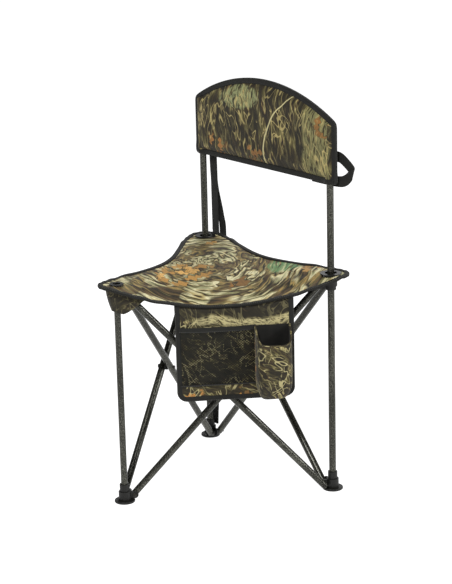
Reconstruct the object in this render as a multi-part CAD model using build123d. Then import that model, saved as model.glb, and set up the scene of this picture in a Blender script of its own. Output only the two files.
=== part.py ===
"""Folding three-legged field stool with a padded backrest: steel tube frame, plastic hubs and sewn fabric.

Millimetres, +Z up. The origin is on the ground, midway between the three legs. The sitter faces -Y, so the
front leg stands on -Y and the two rear legs, which carry the backrest, stand towards +Y. Left is +X.
Each side of the frame is a scissor: one tube on the inner plane and one on the outer plane of the side,
riveted together at mid length, with their lower ends on the feet and their upper ends on the sliding hubs.
"""
from build123d import *
import math
import os

os.makedirs("parts", exist_ok=True)

# ---- driving dimensions --------------------------------------------------------------------------------
SIDE = 450.0                 # leg axis to leg axis
SEAT_Z = 480.0               # top of the seat fabric at its corners
BACK_GAP = 192.0             # seat to the lower edge of the backrest

POST_D = 15.0                # rear post tube
LEG_D = 14.0                 # front leg tube
BRACE_D = 15.0               # scissor tube
TUBE_WALL = 1.2

PIVOT_GAP = 1.0              # brace end to the core of a foot or hub
FOOT_PIVOT_Z = 14.0
EAR_THICKNESS = 4.4
RIVET_D = 5.0
RIVET_HEAD_D = 9.0
RIVET_HEAD_H = 1.8
RIVET_GAP = 0.3              # rivet head to the tube that turns under it

FOOT_D = 44.0
FOOT_BASE_H = 5.0
FOOT_CORE_STEP = 2.75        # foot core beyond its sleeve
FOOT_CORE_H = 24.0
FOOT_SLEEVE_WALL = 2.75
FOOT_SLEEVE_H = 40.0
FOOT_FLOOR = 6.0             # solid plastic under the tube
FOOT_CHAMFER = 1.0
FOOT_FILLET = 1.5

HUB_WALL = 6.0
HUB_DROP = 10.0              # seat's corner height to the top of a hub
HUB_H = 24.0
HUB_PIVOT_DROP = 14.0        # top of a hub to its brace pivots
HUB_COLLAR_WALL = 3.5        # narrower collar at the lower end of a sliding hub
HUB_COLLAR_H = 8.0
HUB_ROOF = 8.0               # top of the front hub to the top of the leg inside it

FIT = 0.05                   # radial clearance of a pressed or turning fit
SLIDE_GAP = 0.3              # radial clearance of a hub or tube that slides
PLUG_LENGTH = 22.0
PLUG_END_GAP = 1.0           # rounded end of a plug inside the rounded end of its tube
SPACER_D = 14.0

INNER_TUBE_LENGTH = 255.0    # the front leg's telescoping inner tube

TIP_RADIUS = 38.0            # seat fabric beyond a leg axis
EDGE_INSET = 2.0             # seat edge inside the line of the legs, at mid side
FABRIC = 3.0
FRONT_EDGE_SAG = 60.0        # droop of the edge that carries the storage panel
RIGHT_EDGE_SAG = 8.0
REAR_EDGE_SAG = 5.0
SAG_POWER = 1.3              # above 1 keeps the fabric level near its corners
SEAT_HINGE_INSET = 22.0      # leg axis to the line where a seat panel folds
SEAM_GAP = 0.6
REAR_EYELET_GAP = 5.5        # post to the inside of its eyelet
EYELET_RIM = 7.5             # flange beyond the barrel of a rear eyelet
FRONT_EYELET_HOLE_D = 16.0
FRONT_EYELET_RIM = 4.5
EYELET_BARREL = 2.5
EYELET_FLANGE = 1.8
EYELET_LIFT = 0.3            # underside of the flange above the seat's corner height
EYELET_GAP = 0.3

BACK_PAST_POST = 21.0        # backrest beyond a post axis
BACK_SIDE_H = 129.0          # straight side edge of the backrest
BACK_ARCH_H = 64.0           # rise of the top arch above the side edges
BACK_SLEEVE_GAP = 1.2        # post to the sleeve around it
BACK_SLEEVE_WALL = 1.3
BACK_CORNER_R = 10.0
POST_IN_BACK = 122.0         # length of post inside the backrest
POST_CAP_H = 3.0
POST_PLUG_H = 12.0
SLEEVE_HEADROOM = 2.0

PANEL_START = 117.0          # storage panel, along the front-left side from the front leg axis
PANEL_TO_REAR = 84.0         # storage panel to the left leg axis
PANEL_LEAN_DROP = 55.0       # seat to the height above which the panel is upright again, under the seat edge
PANEL_KNEE_DROP = 92.0       # seat to the height below which it hangs upright, clear of the braces
PANEL_BOTTOM_DROP = 255.0
PANEL_TOP_OUT = 6.0          # inner face outside the side plane, at the top
PANEL_SEAT_GAP = 1.0         # top of the panel to the underside of the seat
PANEL_CLEAR = 1.4            # rivet heads to the panel's inner face, below the knee
PANEL_THICKNESS = 2.5
PANEL_CORNER_R = 20.0
MESH_INSET = 11.0            # panel's edge to the mesh pocket
MESH_TOP_DROP = 3.0          # panel's knee to the top of the mesh pocket
MESH_H = 127.0
MESH_DEPTH = 11.0
MESH_WALL = 1.5
MESH_CORNER_R = 5.5
CUP_INSET = 8.0              # cup pouch to the panel's other edge
CUP_W = 74.5
CUP_GAP = 4.0                # mesh pocket to the cup pouch
CUP_DEPTH = 56.0
CUP_TOP_DROP = 4.0           # panel's knee to the top of the cup pouch
CUP_H = 155.0
CUP_WALL = 2.5
CUP_CORNER_R = 18.0

BOOT_DROP = 59.0             # seat to the lower edge of the fabric boot over the front hub
BOOT_CLEAR = 1.9             # rivet heads to the boot's inner face
BOOT_WALL = 2.0
BOOT_FLAT = 16.0             # length of the boot's level lower edge
BOOT_LENGTH = 56.0
BOOT_SLOPE = 0.55            # rise of the boot's lower edge past its level stretch
BOOT_SEAT_GAP = 6.0
BOOT_LEG_GAP = 1.0

STRAP_W = 25.0
STRAP_T = 1.8
STRAP_GAP = 0.4              # strap to what it lies on
STRAP_IN_BACK = 30.0         # length sewn behind the backrest
STRAP_TOP_SIDE = 23.0        # post axis to the straps' middle, behind the backrest
STRAP_FOOT_Z = 27.0
STRAP_CLEAR = 2.0            # strap to the seat's rear corner
STRAP_SIDE = 18.0            # sideways shift of the outer strap where it passes the seat
STRAP_INNER_SIDE = 3.0       # sideways shift of the inner strap there
STRAP_SPLIT = 40.0           # height above the seat at which the straps part
STRAP_LEVEL = 3.0            # half of the upright stretch past the seat's corner
LOOP_W = 24.0
LOOP_TIP_W = 14.0
LOOP_REACH = 28.0            # how far the tie loop stands out beyond the backrest's edge
LOOP_LAP = 75.0              # post axis to the sewn end of the low arm
LOOP_LOW = 5.0               # low arm above the backrest's lower edge
LOOP_TIP = 32.0
LOOP_HIGH = 55.0
LOOP_BACK = 8.0              # how far the tip stands back from the arms

# ---- layout worked out from the driving dimensions -----------------------------------------------------
FOOT_SLEEVE_D = max(POST_D, LEG_D) + 2 * FOOT_SLEEVE_WALL
FOOT_CORE_D = FOOT_SLEEVE_D + 2 * FOOT_CORE_STEP
HUB_CORE_D = max(POST_D, LEG_D) + 2 * HUB_WALL
HUB_COLLAR_D = POST_D + 2 * HUB_COLLAR_WALL
HUB_TOP_Z = SEAT_Z - HUB_DROP
HUB_BOTTOM_Z = HUB_TOP_Z - HUB_H
HUB_PIVOT_Z = HUB_TOP_Z - HUB_PIVOT_DROP
LEG_TOP_Z = HUB_TOP_Z - HUB_ROOF
INNER_TUBE_D = LEG_D - 2 * TUBE_WALL - 2 * SLIDE_GAP

EAR_RADIUS = BRACE_D / 2
# Leg axis to brace pivot, along the side: clear of the core, and of the rivet head on the next side at 60 degrees.
PIVOT_REACH = max(HUB_CORE_D / 2 + EAR_RADIUS + PIVOT_GAP,
                  BRACE_D + math.sqrt(3) * (EAR_THICKNESS / 2 + RIVET_HEAD_H))
PLANE_OFFSET = BRACE_D / 2 + EAR_THICKNESS / 2 + RIVET_GAP   # side plane to brace axis
BRACES_OUT = PLANE_OFFSET + BRACE_D / 2 + RIVET_GAP + RIVET_HEAD_H

RADIUS = SIDE / math.sqrt(3)
HALF = SIDE / 2
REAR_Y = RADIUS / 2
SPAN = SIDE - 2 * PIVOT_REACH
RISE = HUB_PIVOT_Z - FOOT_PIVOT_Z
BRACE_LENGTH = math.hypot(SPAN, RISE)

REAR_EYELET_HOLE_D = POST_D + 2 * REAR_EYELET_GAP
BACK_BOTTOM_Z = SEAT_Z + BACK_GAP
BACK_SIDE_Z = BACK_BOTTOM_Z + BACK_SIDE_H
BACK_TOP_Z = BACK_SIDE_Z + BACK_ARCH_H
POST_TOP_Z = BACK_BOTTOM_Z + POST_IN_BACK
BACK_HALF_WIDTH = HALF + BACK_PAST_POST
SLEEVE_D = POST_D + 2 * BACK_SLEEVE_GAP
BACK_THICKNESS = SLEEVE_D + 2 * BACK_SLEEVE_WALL

PANEL_OUT = BRACES_OUT + PANEL_CLEAR
PANEL_END = SIDE - PANEL_TO_REAR
PANEL_LEAN_Z = SEAT_Z - PANEL_LEAN_DROP
PANEL_KNEE_Z = SEAT_Z - PANEL_KNEE_DROP
PANEL_BOTTOM_Z = SEAT_Z - PANEL_BOTTOM_DROP
CUP_END = PANEL_END - CUP_INSET
CUP_START = CUP_END - CUP_W
CUP_TOP_Z = PANEL_KNEE_Z - CUP_TOP_DROP
MESH_START = PANEL_START + MESH_INSET
MESH_END = CUP_START - CUP_GAP
MESH_TOP_Z = PANEL_KNEE_Z - MESH_TOP_DROP
BOOT_OUT = BRACES_OUT + BOOT_CLEAR
BOOT_BOTTOM_Z = SEAT_Z - BOOT_DROP

FRONT = Vector(0, -RADIUS, 0)
LEFT = Vector(HALF, REAR_Y, 0)
RIGHT = Vector(-HALF, REAR_Y, 0)
CORNERS = {"front": FRONT, "left": LEFT, "right": RIGHT}
SIDES = {"left": ("front", "left"), "rear": ("left", "right"), "right": ("right", "front")}
UP = Vector(0, 0, 1)


def toward(a, b):
    """Unit vector from corner a to corner b."""
    return (CORNERS[b] - CORNERS[a]).normalized()


def inward(a, b):
    """Unit normal of the side a-b, pointing at the middle of the stool."""
    along = toward(a, b)
    normal = Vector(-along.Y, along.X, 0)
    return normal if normal.dot(CORNERS[a]) < 0 else normal * -1


def rod(start, direction, radius, length):
    """Solid cylinder from a point along a direction."""
    return Solid.make_cylinder(radius, length, Plane(origin=start, z_dir=direction))


def at(corner, shape):
    """Shape modelled on the Z axis, moved to a leg axis."""
    return Pos(CORNERS[corner].X, CORNERS[corner].Y, 0) * shape


def ring(outer_d, inner_d, z0, z1):
    """Upright ring between two heights."""
    height = z1 - z0
    body = Cylinder(outer_d / 2, height) - Cylinder(inner_d / 2, height * 2)
    return Pos(0, 0, (z0 + z1) / 2) * body


def disc(diameter, z0, z1):
    """Upright solid cylinder between two heights."""
    return Pos(0, 0, (z0 + z1) / 2) * Cylinder(diameter / 2, z1 - z0)


def save(name, shape):
    """One closed solid, or a group of them, as one file."""
    solids = shape.solids()
    export_step(solids[0] if len(solids) == 1 else Compound(children=solids), f"parts/{name}.step")


# ---- hubs and feet -------------------------------------------------------------------------------------
def ears(corner, pivot_z):
    """Two flat ears, one along each side that meets at the corner, each bored for its rivet."""
    parts = []
    for other in CORNERS:
        if other == corner:
            continue
        along = toward(corner, other)
        normal = inward(corner, other)
        pivot = CORNERS[corner] + along * PIVOT_REACH + UP * pivot_z
        face = pivot - normal * (EAR_THICKNESS / 2)
        eye = rod(face, normal, EAR_RADIUS, EAR_THICKNESS)
        web_plane = Plane(origin=CORNERS[corner] + along * (PIVOT_REACH / 2) + UP * pivot_z,
                          x_dir=along, z_dir=normal)
        web = extrude(web_plane * Rectangle(PIVOT_REACH, 2 * EAR_RADIUS), EAR_THICKNESS / 2, both=True)
        hole = rod(face - normal, normal, RIVET_D / 2 + FIT, EAR_THICKNESS + 2)
        parts.append((eye, web, hole))
    return parts


def with_ears(corner, body, pivot_z):
    """Body with its two ears joined on and their rivet holes cut."""
    for eye, web, hole in ears(corner, pivot_z):
        body = body + web + eye
    for eye, web, hole in ears(corner, pivot_z):
        body = body - hole
    return body


def foot(corner, tube_d):
    """Plastic foot: round pad, core with two ears, and a sleeve that takes the tube."""
    pad = disc(FOOT_D, 0, FOOT_BASE_H)
    pad = chamfer(pad.edges().group_by(Axis.Z)[0], FOOT_CHAMFER)
    pad = fillet(pad.edges().group_by(Axis.Z)[-1], FOOT_FILLET)
    body = pad + disc(FOOT_CORE_D, 0, FOOT_CORE_H) + disc(FOOT_SLEEVE_D, 0, FOOT_SLEEVE_H)
    body = with_ears(corner, at(corner, body), FOOT_PIVOT_Z)
    socket = at(corner, disc(tube_d + 2 * FIT, FOOT_FLOOR, FOOT_SLEEVE_H + 1))
    return body - socket


def slider(corner):
    """Plastic hub that slides on a rear post and carries a seat corner."""
    core = disc(HUB_CORE_D, HUB_BOTTOM_Z + HUB_COLLAR_H, HUB_TOP_Z)
    collar = disc(HUB_COLLAR_D, HUB_BOTTOM_Z, HUB_TOP_Z)
    body = with_ears(corner, at(corner, core + collar), HUB_PIVOT_Z)
    return body - at(corner, disc(POST_D + 2 * SLIDE_GAP, HUB_BOTTOM_Z - 1, HUB_TOP_Z + 1))


def front_slider():
    """Plastic hub over the top of the front leg: bored for the leg below and for the inner tube above."""
    body = with_ears("front", at("front", disc(HUB_CORE_D, HUB_BOTTOM_Z, HUB_TOP_Z)), HUB_PIVOT_Z)
    leg_bore = disc(LEG_D + 2 * SLIDE_GAP, HUB_BOTTOM_Z - 1, LEG_TOP_Z + 1)
    tube_bore = disc(INNER_TUBE_D + 2 * FIT, HUB_BOTTOM_Z, HUB_TOP_Z + 1)
    return body - at("front", leg_bore + tube_bore)


def brace_on_inner_plane(corner, other, at_foot):
    """On each side the brace from the first corner's foot to the second corner's hub is the inner one."""
    first = (corner, other) in SIDES.values()
    return first == at_foot


def rivets(corner, pivot_z, at_foot):
    """The two rivets of a foot or hub: each passes its ear and one brace end, with a head outside both."""
    group = []
    for other in CORNERS:
        if other == corner:
            continue
        inner = brace_on_inner_plane(corner, other, at_foot)
        normal = inward(corner, other) * (1 if inner else -1)
        pivot = CORNERS[corner] + toward(corner, other) * PIVOT_REACH + UP * pivot_z
        back = EAR_THICKNESS / 2
        front = PLANE_OFFSET + BRACE_D / 2 + RIVET_GAP
        shank = rod(pivot - normal * back, normal, RIVET_D / 2, back + front)
        heads = rod(pivot - normal * (back + RIVET_HEAD_H), normal, RIVET_HEAD_D / 2, RIVET_HEAD_H)
        outer_head = rod(pivot + normal * front, normal, RIVET_HEAD_D / 2, RIVET_HEAD_H)
        group.append(shank + heads + outer_head)
    return Compound(children=[s for g in group for s in g.solids()])


# ---- braces --------------------------------------------------------------------------------------------
def brace_ends(a, b, inner):
    """Lower and upper pivot of a brace of the side a-b, on its own plane."""
    offset = inward(a, b) * (PLANE_OFFSET if inner else -PLANE_OFFSET)
    near = CORNERS[a] + toward(a, b) * PIVOT_REACH + offset
    far = CORNERS[b] - toward(a, b) * PIVOT_REACH + offset
    low, high = (near, far) if inner else (far, near)
    return low + UP * FOOT_PIVOT_Z, high + UP * HUB_PIVOT_Z


def brace(a, b, inner):
    """Steel tube with both ends rounded about their pivots, bored at both ends and at the middle."""
    low, high = brace_ends(a, b, inner)
    normal = inward(a, b)
    along = (high - low).normalized()
    radius = BRACE_D / 2
    tube = rod(low - along * radius, along, radius, BRACE_LENGTH + BRACE_D)
    middle = (low + high) * 0.5
    straight = extrude(Plane(origin=middle, x_dir=along, z_dir=normal)
                       * Rectangle(BRACE_LENGTH, BRACE_D + 2), BRACE_D, both=True)
    ends = [rod(end - normal * BRACE_D, normal, radius, 2 * BRACE_D) for end in (low, high)]
    tube = tube & (straight + ends[0] + ends[1])
    tube = tube - rod(low - along * BRACE_D, along, radius - TUBE_WALL, BRACE_LENGTH + 2 * BRACE_D)
    for point in (low, high, middle):
        tube = tube - rod(point - normal * BRACE_D, normal, RIVET_D / 2 + FIT, 2 * BRACE_D)
    return tube


def plugs(a, b, inner):
    """Plastic plugs inside both ends of a brace, bored for the rivets."""
    low, high = brace_ends(a, b, inner)
    normal = inward(a, b)
    along = (high - low).normalized()
    radius = BRACE_D / 2 - TUBE_WALL - FIT
    group = []
    for end, inwards in ((low, along), (high, along * -1)):
        plug = rod(end - inwards * BRACE_D, inwards, radius, PLUG_LENGTH + BRACE_D)
        room = rod(end - normal * BRACE_D, normal, BRACE_D / 2 - PLUG_END_GAP, 2 * BRACE_D)
        block = extrude(Plane(origin=end + inwards * (PLUG_LENGTH / 2), x_dir=inwards, z_dir=normal)
                        * Rectangle(PLUG_LENGTH, BRACE_D), BRACE_D, both=True)
        plug = plug & (room + block)
        plug = plug - rod(end - normal * BRACE_D, normal, RIVET_D / 2 + FIT, 2 * BRACE_D)
        group += plug.solids()
    return Compound(children=group)


def cross_rivet(a, b):
    """Rivet that joins the two braces of a side where they cross."""
    middle = (CORNERS[a] + CORNERS[b]) * 0.5 + UP * ((FOOT_PIVOT_Z + HUB_PIVOT_Z) / 2)
    normal = inward(a, b)
    reach = PLANE_OFFSET + BRACE_D / 2 + RIVET_GAP
    body = rod(middle - normal * reach, normal, RIVET_D / 2, 2 * reach)
    for sign in (1, -1):
        body = body + rod(middle + normal * (sign * reach), normal * sign, RIVET_HEAD_D / 2, RIVET_HEAD_H)
    return body


def cross_spacer(a, b):
    """Plastic washer between the two crossing tubes."""
    middle = (CORNERS[a] + CORNERS[b]) * 0.5 + UP * ((FOOT_PIVOT_Z + HUB_PIVOT_Z) / 2)
    normal = inward(a, b)
    half = PLANE_OFFSET - BRACE_D / 2 - RIVET_GAP
    body = rod(middle - normal * half, normal, SPACER_D / 2, 2 * half)
    return body - rod(middle - normal * (half + 1), normal, RIVET_D / 2 + FIT, 2 * half + 2)


# ---- seat ----------------------------------------------------------------------------------------------
def shares(point):
    """Weights of the three corners at a point, adding up to 1: each is 0 on its opposite side and beyond."""
    reach = [RADIUS / 2 + point.dot(corner.normalized()) for corner in CORNERS.values()]
    reach = [max(0.0, value) for value in reach]
    return [value / sum(reach) for value in reach]


def on_seat(point):
    """The point lifted to the top of the seat: an edge droops with the product of its corners' shares."""
    front, left, right = shares(point)
    droop = 0.0
    for sag, product in ((FRONT_EDGE_SAG, front * left), (RIGHT_EDGE_SAG, front * right),
                         (REAR_EDGE_SAG, left * right)):
        droop += sag * (4 * product) ** SAG_POWER
    return Vector(point.X, point.Y, SEAT_Z - droop)


def edge_point(corner, other, part):
    """Point of the seat's outline, a share of the way along a side: it swings in as a squared sine."""
    swing = math.sin(math.pi * part) ** 2
    inset = EDGE_INSET * swing - TIP_RADIUS * (1 - swing)
    return CORNERS[corner] + toward(corner, other) * (part * SIDE) + inward(corner, other) * inset


def chord_part(corner, other, inset):
    """Share of the side at which the outline crosses the fold line, found by halving."""
    middle = CORNERS[corner].normalized() * -1
    low, high = 0.0, 0.4
    for _ in range(40):
        part = (low + high) / 2
        depth = (edge_point(corner, other, part) - CORNERS[corner]).dot(middle)
        low, high = (part, high) if depth < inset else (low, part)
    return low


def thick_sheet(triangles):
    """Closed solid of a triangulated sheet on the seat's surface, with the fabric's thickness below it."""
    drop = Vector(0, 0, -FABRIC)
    faces = []
    rim = {}
    for triangle in triangles:
        top = [on_seat(p) for p in triangle]
        faces.append(Face(Wire.make_polygon(top, close=True)))
        faces.append(Face(Wire.make_polygon([p + drop for p in top], close=True)))
        for one, two in zip(top, top[1:] + top[:1]):
            key = frozenset([(round(p.X, 4), round(p.Y, 4)) for p in (one, two)])
            rim[key] = None if key in rim else (one, two)
    for one, two in filter(None, rim.values()):
        faces.append(Face(Wire.make_polygon([one, two, two + drop, one + drop], close=True)))
    return Solid(Shell(faces))


def neighbours(corner):
    """The two other corners, in a fixed order."""
    return [name for name in CORNERS if name != corner]


def row(one, two):
    """Points across a panel from edge to edge, closer together near the edges."""
    return [one + (two - one) * part for part in (0, 0.2, 0.5, 0.8, 1)]


def seat_panel(corner):
    """Kite of the seat from the fold line at a corner to the middle of the seat and of both sides."""
    one, two = neighbours(corner)
    apex = CORNERS[corner].normalized() * (SEAM_GAP / 2 / math.sin(math.pi / 3))
    half = 0.5 - SEAM_GAP / 2 / SIDE
    start = chord_part(corner, one, SEAT_HINGE_INSET + SEAM_GAP / 2)
    parts = [start] + [start + (half - start) * share for share in (0.25, 0.5, 0.75)] + [half]
    rows = [row(edge_point(corner, one, part), edge_point(corner, two, part)) for part in parts]
    triangles = []
    for near, far in zip(rows, rows[1:]):
        for k in range(len(near) - 1):
            triangles.append([near[k], near[k + 1], far[k + 1]])
            triangles.append([near[k], far[k + 1], far[k]])
    last = rows[-1]
    triangles += [[last[k], last[k + 1], apex] for k in range(len(last) - 1)]
    return thick_sheet(triangles)


def seat_corner(corner, hole_d):
    """Rounded corner of the seat around a leg axis, with the hole that its eyelet fills."""
    one, two = neighbours(corner)
    start = chord_part(corner, one, SEAT_HINGE_INSET - SEAM_GAP / 2)
    sides = [start, start * 0.6, start * 0.25]
    first = [edge_point(corner, one, part) for part in sides]
    last = [edge_point(corner, two, part) for part in reversed(sides)]
    begin = inward(corner, one) * -TIP_RADIUS
    sense = 1 if begin.cross(inward(corner, two) * -1).Z > 0 else -1
    arc = [CORNERS[corner] + begin.rotate(Axis.Z, sense * 15 * step) for step in range(9)]
    fold = row(edge_point(corner, two, start), edge_point(corner, one, start))
    outline = first + arc + last + fold[1:]
    fan = [[CORNERS[corner], p, q] for p, q in zip(outline, outline[1:])]
    hole = at(corner, disc(hole_d, SEAT_Z - 30, SEAT_Z + 30))
    return thick_sheet(fan) - hole


def eyelet(corner, hole_d, rim):
    """Moulded ring that sits on the hub, fills the fabric's hole and lies over its rim."""
    barrel_d = hole_d + 2 * EYELET_BARREL
    outer_d = barrel_d + 2 * rim
    flange_z = SEAT_Z + EYELET_LIFT
    body = ring(barrel_d, hole_d, HUB_TOP_Z, flange_z + EYELET_FLANGE)
    return at(corner, body + ring(outer_d, hole_d, flange_z, flange_z + EYELET_FLANGE))


def wing_cut(other, points):
    """Prism over a stretch of one wing of the boot, from points along the side and up."""
    along = toward("front", other)
    out = inward("front", other) * -1
    start = FRONT + out * (BOOT_OUT - BOOT_WALL)
    face = Face(Wire.make_polygon([start + along * a + UP * z for a, z in points], close=True))
    return Solid.extrude(face, out * (3 * BOOT_WALL))


def boot():
    """Fabric boot over the front hub: a faceted wall with two wings and a floor around the leg."""
    top = SEAT_Z - FABRIC - BOOT_SEAT_GAP
    turn = [math.radians(60 - step * 15) for step in range(9)]
    rounds = [Vector(math.sin(angle), -math.cos(angle), 0) for angle in turn]
    walls = []
    for reach in (BOOT_OUT + BOOT_WALL, BOOT_OUT):
        ends = [FRONT + inward("front", other) * -reach + toward("front", other) * BOOT_LENGTH
                for other in ("left", "right")]
        walls.append(ends[:1] + [FRONT + point * reach for point in rounds] + ends[1:])
    outline = [p + UP * BOOT_BOTTOM_Z for p in walls[0] + walls[1][::-1]]
    body = Solid.extrude(Face(Wire.make_polygon(outline, close=True)), UP * (top - BOOT_BOTTOM_Z))
    floor = [p + UP * BOOT_BOTTOM_Z for p in walls[0][1:-1]]
    body = body + Solid.extrude(Face(Wire.make_polygon(floor, close=True)), UP * BOOT_WALL)
    past = BOOT_LENGTH + 5
    rise = (past - BOOT_FLAT) * BOOT_SLOPE
    for other in ("left", "right"):
        edge = FRONT + toward("front", other) * BOOT_LENGTH + inward("front", other) * -(BOOT_OUT + BOOT_WALL)
        end_top = min(top, on_seat(edge).Z - FABRIC - BOOT_SEAT_GAP)
        drop = (top - end_top) * past / BOOT_LENGTH
        body = body - wing_cut(other, [(BOOT_FLAT, BOOT_BOTTOM_Z), (BOOT_FLAT, BOOT_BOTTOM_Z - 5),
                                       (past, BOOT_BOTTOM_Z - 5), (past, BOOT_BOTTOM_Z + rise)])
        body = body - wing_cut(other, [(0, top), (past, top - drop), (past, top + 5), (0, top + 5)])
    hole = disc(LEG_D + 2 * BOOT_LEG_GAP, BOOT_BOTTOM_Z - 1, BOOT_BOTTOM_Z + BOOT_WALL + 1)
    return body - at("front", hole)


# ---- storage on the front-left side --------------------------------------------------------------------
def storage_panel():
    """Fabric panel under the seat edge: leaning out over the braces, then upright, lower corners rounded."""
    face_out = PANEL_THICKNESS
    section = [(PANEL_OUT, PANEL_BOTTOM_Z), (PANEL_OUT, PANEL_KNEE_Z), (PANEL_TOP_OUT, PANEL_LEAN_Z),
               (PANEL_TOP_OUT, SEAT_Z), (PANEL_TOP_OUT + face_out, SEAT_Z),
               (PANEL_TOP_OUT + face_out, PANEL_LEAN_Z), (PANEL_OUT + face_out, PANEL_KNEE_Z),
               (PANEL_OUT + face_out, PANEL_BOTTOM_Z)]
    along = toward("front", "left")
    out = inward("front", "left") * -1
    start = FRONT + along * PANEL_START
    points = [start + out * o + UP * z for o, z in section]
    body = Solid.extrude(Face(Wire.make_polygon(points, close=True)), along * (PANEL_END - PANEL_START))
    corner = PANEL_CORNER_R
    outline = [(PANEL_START, PANEL_BOTTOM_Z + corner)]
    turn = [math.radians(180 + step * 15) for step in range(7)]
    outline += [(PANEL_START + corner + corner * math.cos(a), PANEL_BOTTOM_Z + corner + corner * math.sin(a))
                for a in turn[1:]]
    turn = [math.radians(270 + step * 15) for step in range(7)]
    outline += [(PANEL_END - corner + corner * math.cos(a), PANEL_BOTTOM_Z + corner + corner * math.sin(a))
                for a in turn]
    steps = 8
    for step in range(steps, -1, -1):
        a = PANEL_START + (PANEL_END - PANEL_START) * step / steps
        faces = (PANEL_TOP_OUT, PANEL_TOP_OUT + face_out)
        lowest = min(on_seat(FRONT + along * a + out * o).Z for o in faces)
        outline.append((a, lowest - FABRIC - PANEL_SEAT_GAP))
    points = [FRONT + along * a + UP * z for a, z in outline]
    mask = Solid.extrude(Face(Wire.make_polygon(points, close=True)), out * (PANEL_OUT + 2 * face_out))
    return body & mask


def pouch(start, end, top, height, depth, wall, corner_r):
    """Open-topped pouch sewn on the outer face of the storage panel."""
    back = PANEL_OUT + PANEL_THICKNESS
    middle = (start + end) / 2
    bottom = top - height
    along = toward("front", "left")
    out = inward("front", "left") * -1
    origin = FRONT + along * middle + out * (back + depth / 2) + UP * bottom
    plane = Plane(origin=origin, x_dir=along, z_dir=UP)
    outer = plane * Pos(0, 0, height / 2) * Box(end - start, depth, height)
    upright = [e for e in outer.edges() if abs(e.tangent_at(0.5).Z) > 0.99]
    far = sorted(upright, key=lambda e: (e.center() - FRONT).dot(out))[2:]
    outer = fillet(far, corner_r)
    inner = plane * Pos(0, 0, height / 2 + wall) * Box(end - start - 2 * wall, depth - 2 * wall, height)
    upright = [e for e in inner.edges() if abs(e.tangent_at(0.5).Z) > 0.99]
    far = sorted(upright, key=lambda e: (e.center() - FRONT).dot(out))[2:]
    inner = fillet(far, max(corner_r - wall, 1.0))
    return outer - inner


# ---- backrest and straps -------------------------------------------------------------------------------
def backrest():
    """Padded pad with a straight lower edge and an arched top, bored from below for the two posts."""
    lower = [(-BACK_HALF_WIDTH, BACK_SIDE_Z), (-BACK_HALF_WIDTH, BACK_BOTTOM_Z),
             (BACK_HALF_WIDTH, BACK_BOTTOM_Z), (BACK_HALF_WIDTH, BACK_SIDE_Z)]
    line = Polyline(*lower)
    arch = ThreePointArc(lower[-1], (0, BACK_TOP_Z), lower[0])
    face = make_face(line + arch)
    bottom = face.vertices().group_by(Axis.Y)[0]
    face = fillet(bottom, BACK_CORNER_R)
    upright = Plane(origin=(0, REAR_Y, 0), x_dir=(1, 0, 0), z_dir=(0, -1, 0))
    body = extrude(upright * face, BACK_THICKNESS / 2, both=True)
    top = POST_TOP_Z + POST_CAP_H + SLEEVE_HEADROOM
    for name in ("left", "right"):
        body = body - at(name, disc(SLEEVE_D, BACK_BOTTOM_Z - 1, top))
    return body


def back_half(sign):
    """One half of the backrest, from its outer edge to the fold line at the middle."""
    reach = BACK_HALF_WIDTH + 10
    height = BACK_TOP_Z + 10
    keep = Pos(sign * (reach / 2 + SEAM_GAP / 2), REAR_Y, height / 2) * Box(reach, 4 * BACK_THICKNESS, height)
    return backrest() & keep


def level_strap(stations):
    """Flat strap through level sections, given by their middles: wide along X, thin along Y."""
    sections = [Plane(origin=point) * Rectangle(STRAP_W, STRAP_T) for point in stations]
    return loft(sections, ruled=True)


def shoulder_straps():
    """Two carrying straps from the back of the backrest, out past the seat's rear corner, to the right foot.
    The inner one lies behind the outer one down to where they part, a little above the seat."""
    back = REAR_Y + BACK_THICKNESS / 2 + STRAP_GAP + STRAP_T / 2
    passing = REAR_Y + TIP_RADIUS + STRAP_CLEAR + STRAP_T / 2
    low = REAR_Y + FOOT_SLEEVE_D / 2 + STRAP_GAP + STRAP_T / 2
    pitch = STRAP_T + STRAP_GAP
    top_x, outer_x, inner_x = -HALF + STRAP_TOP_SIDE, -HALF - STRAP_SIDE, -HALF + STRAP_INNER_SIDE
    top_z, above, below = BACK_BOTTOM_Z + STRAP_IN_BACK, SEAT_Z + STRAP_LEVEL, SEAT_Z - 2 * STRAP_LEVEL
    share = (BACK_GAP - STRAP_SPLIT) / (BACK_GAP - STRAP_LEVEL)
    part = (top_x + (outer_x - top_x) * share, back + (passing - back) * share, SEAT_Z + STRAP_SPLIT)
    outer = [(top_x, back, top_z), (top_x, back, BACK_BOTTOM_Z), part,
             (outer_x, passing, above), (outer_x, passing, below),
             (-HALF, low, FOOT_SLEEVE_H), (-HALF, low, STRAP_FOOT_Z)]
    behind = [(x, y + pitch, z) for x, y, z in outer]
    inner = behind[:3] + [(inner_x, passing + 2 * pitch, z) for z in (above, below)] + behind[5:]
    return level_strap(outer), level_strap(inner)


def upright_strap(stations):
    """Flat strap through upright sections: thin along Y and as wide as each station says."""
    return loft([Plane(origin=point, x_dir=(0, 1, 0), z_dir=(1, 0, 0)) * Rectangle(STRAP_T, width)
                 for point, width in stations], ruled=True)


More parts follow.
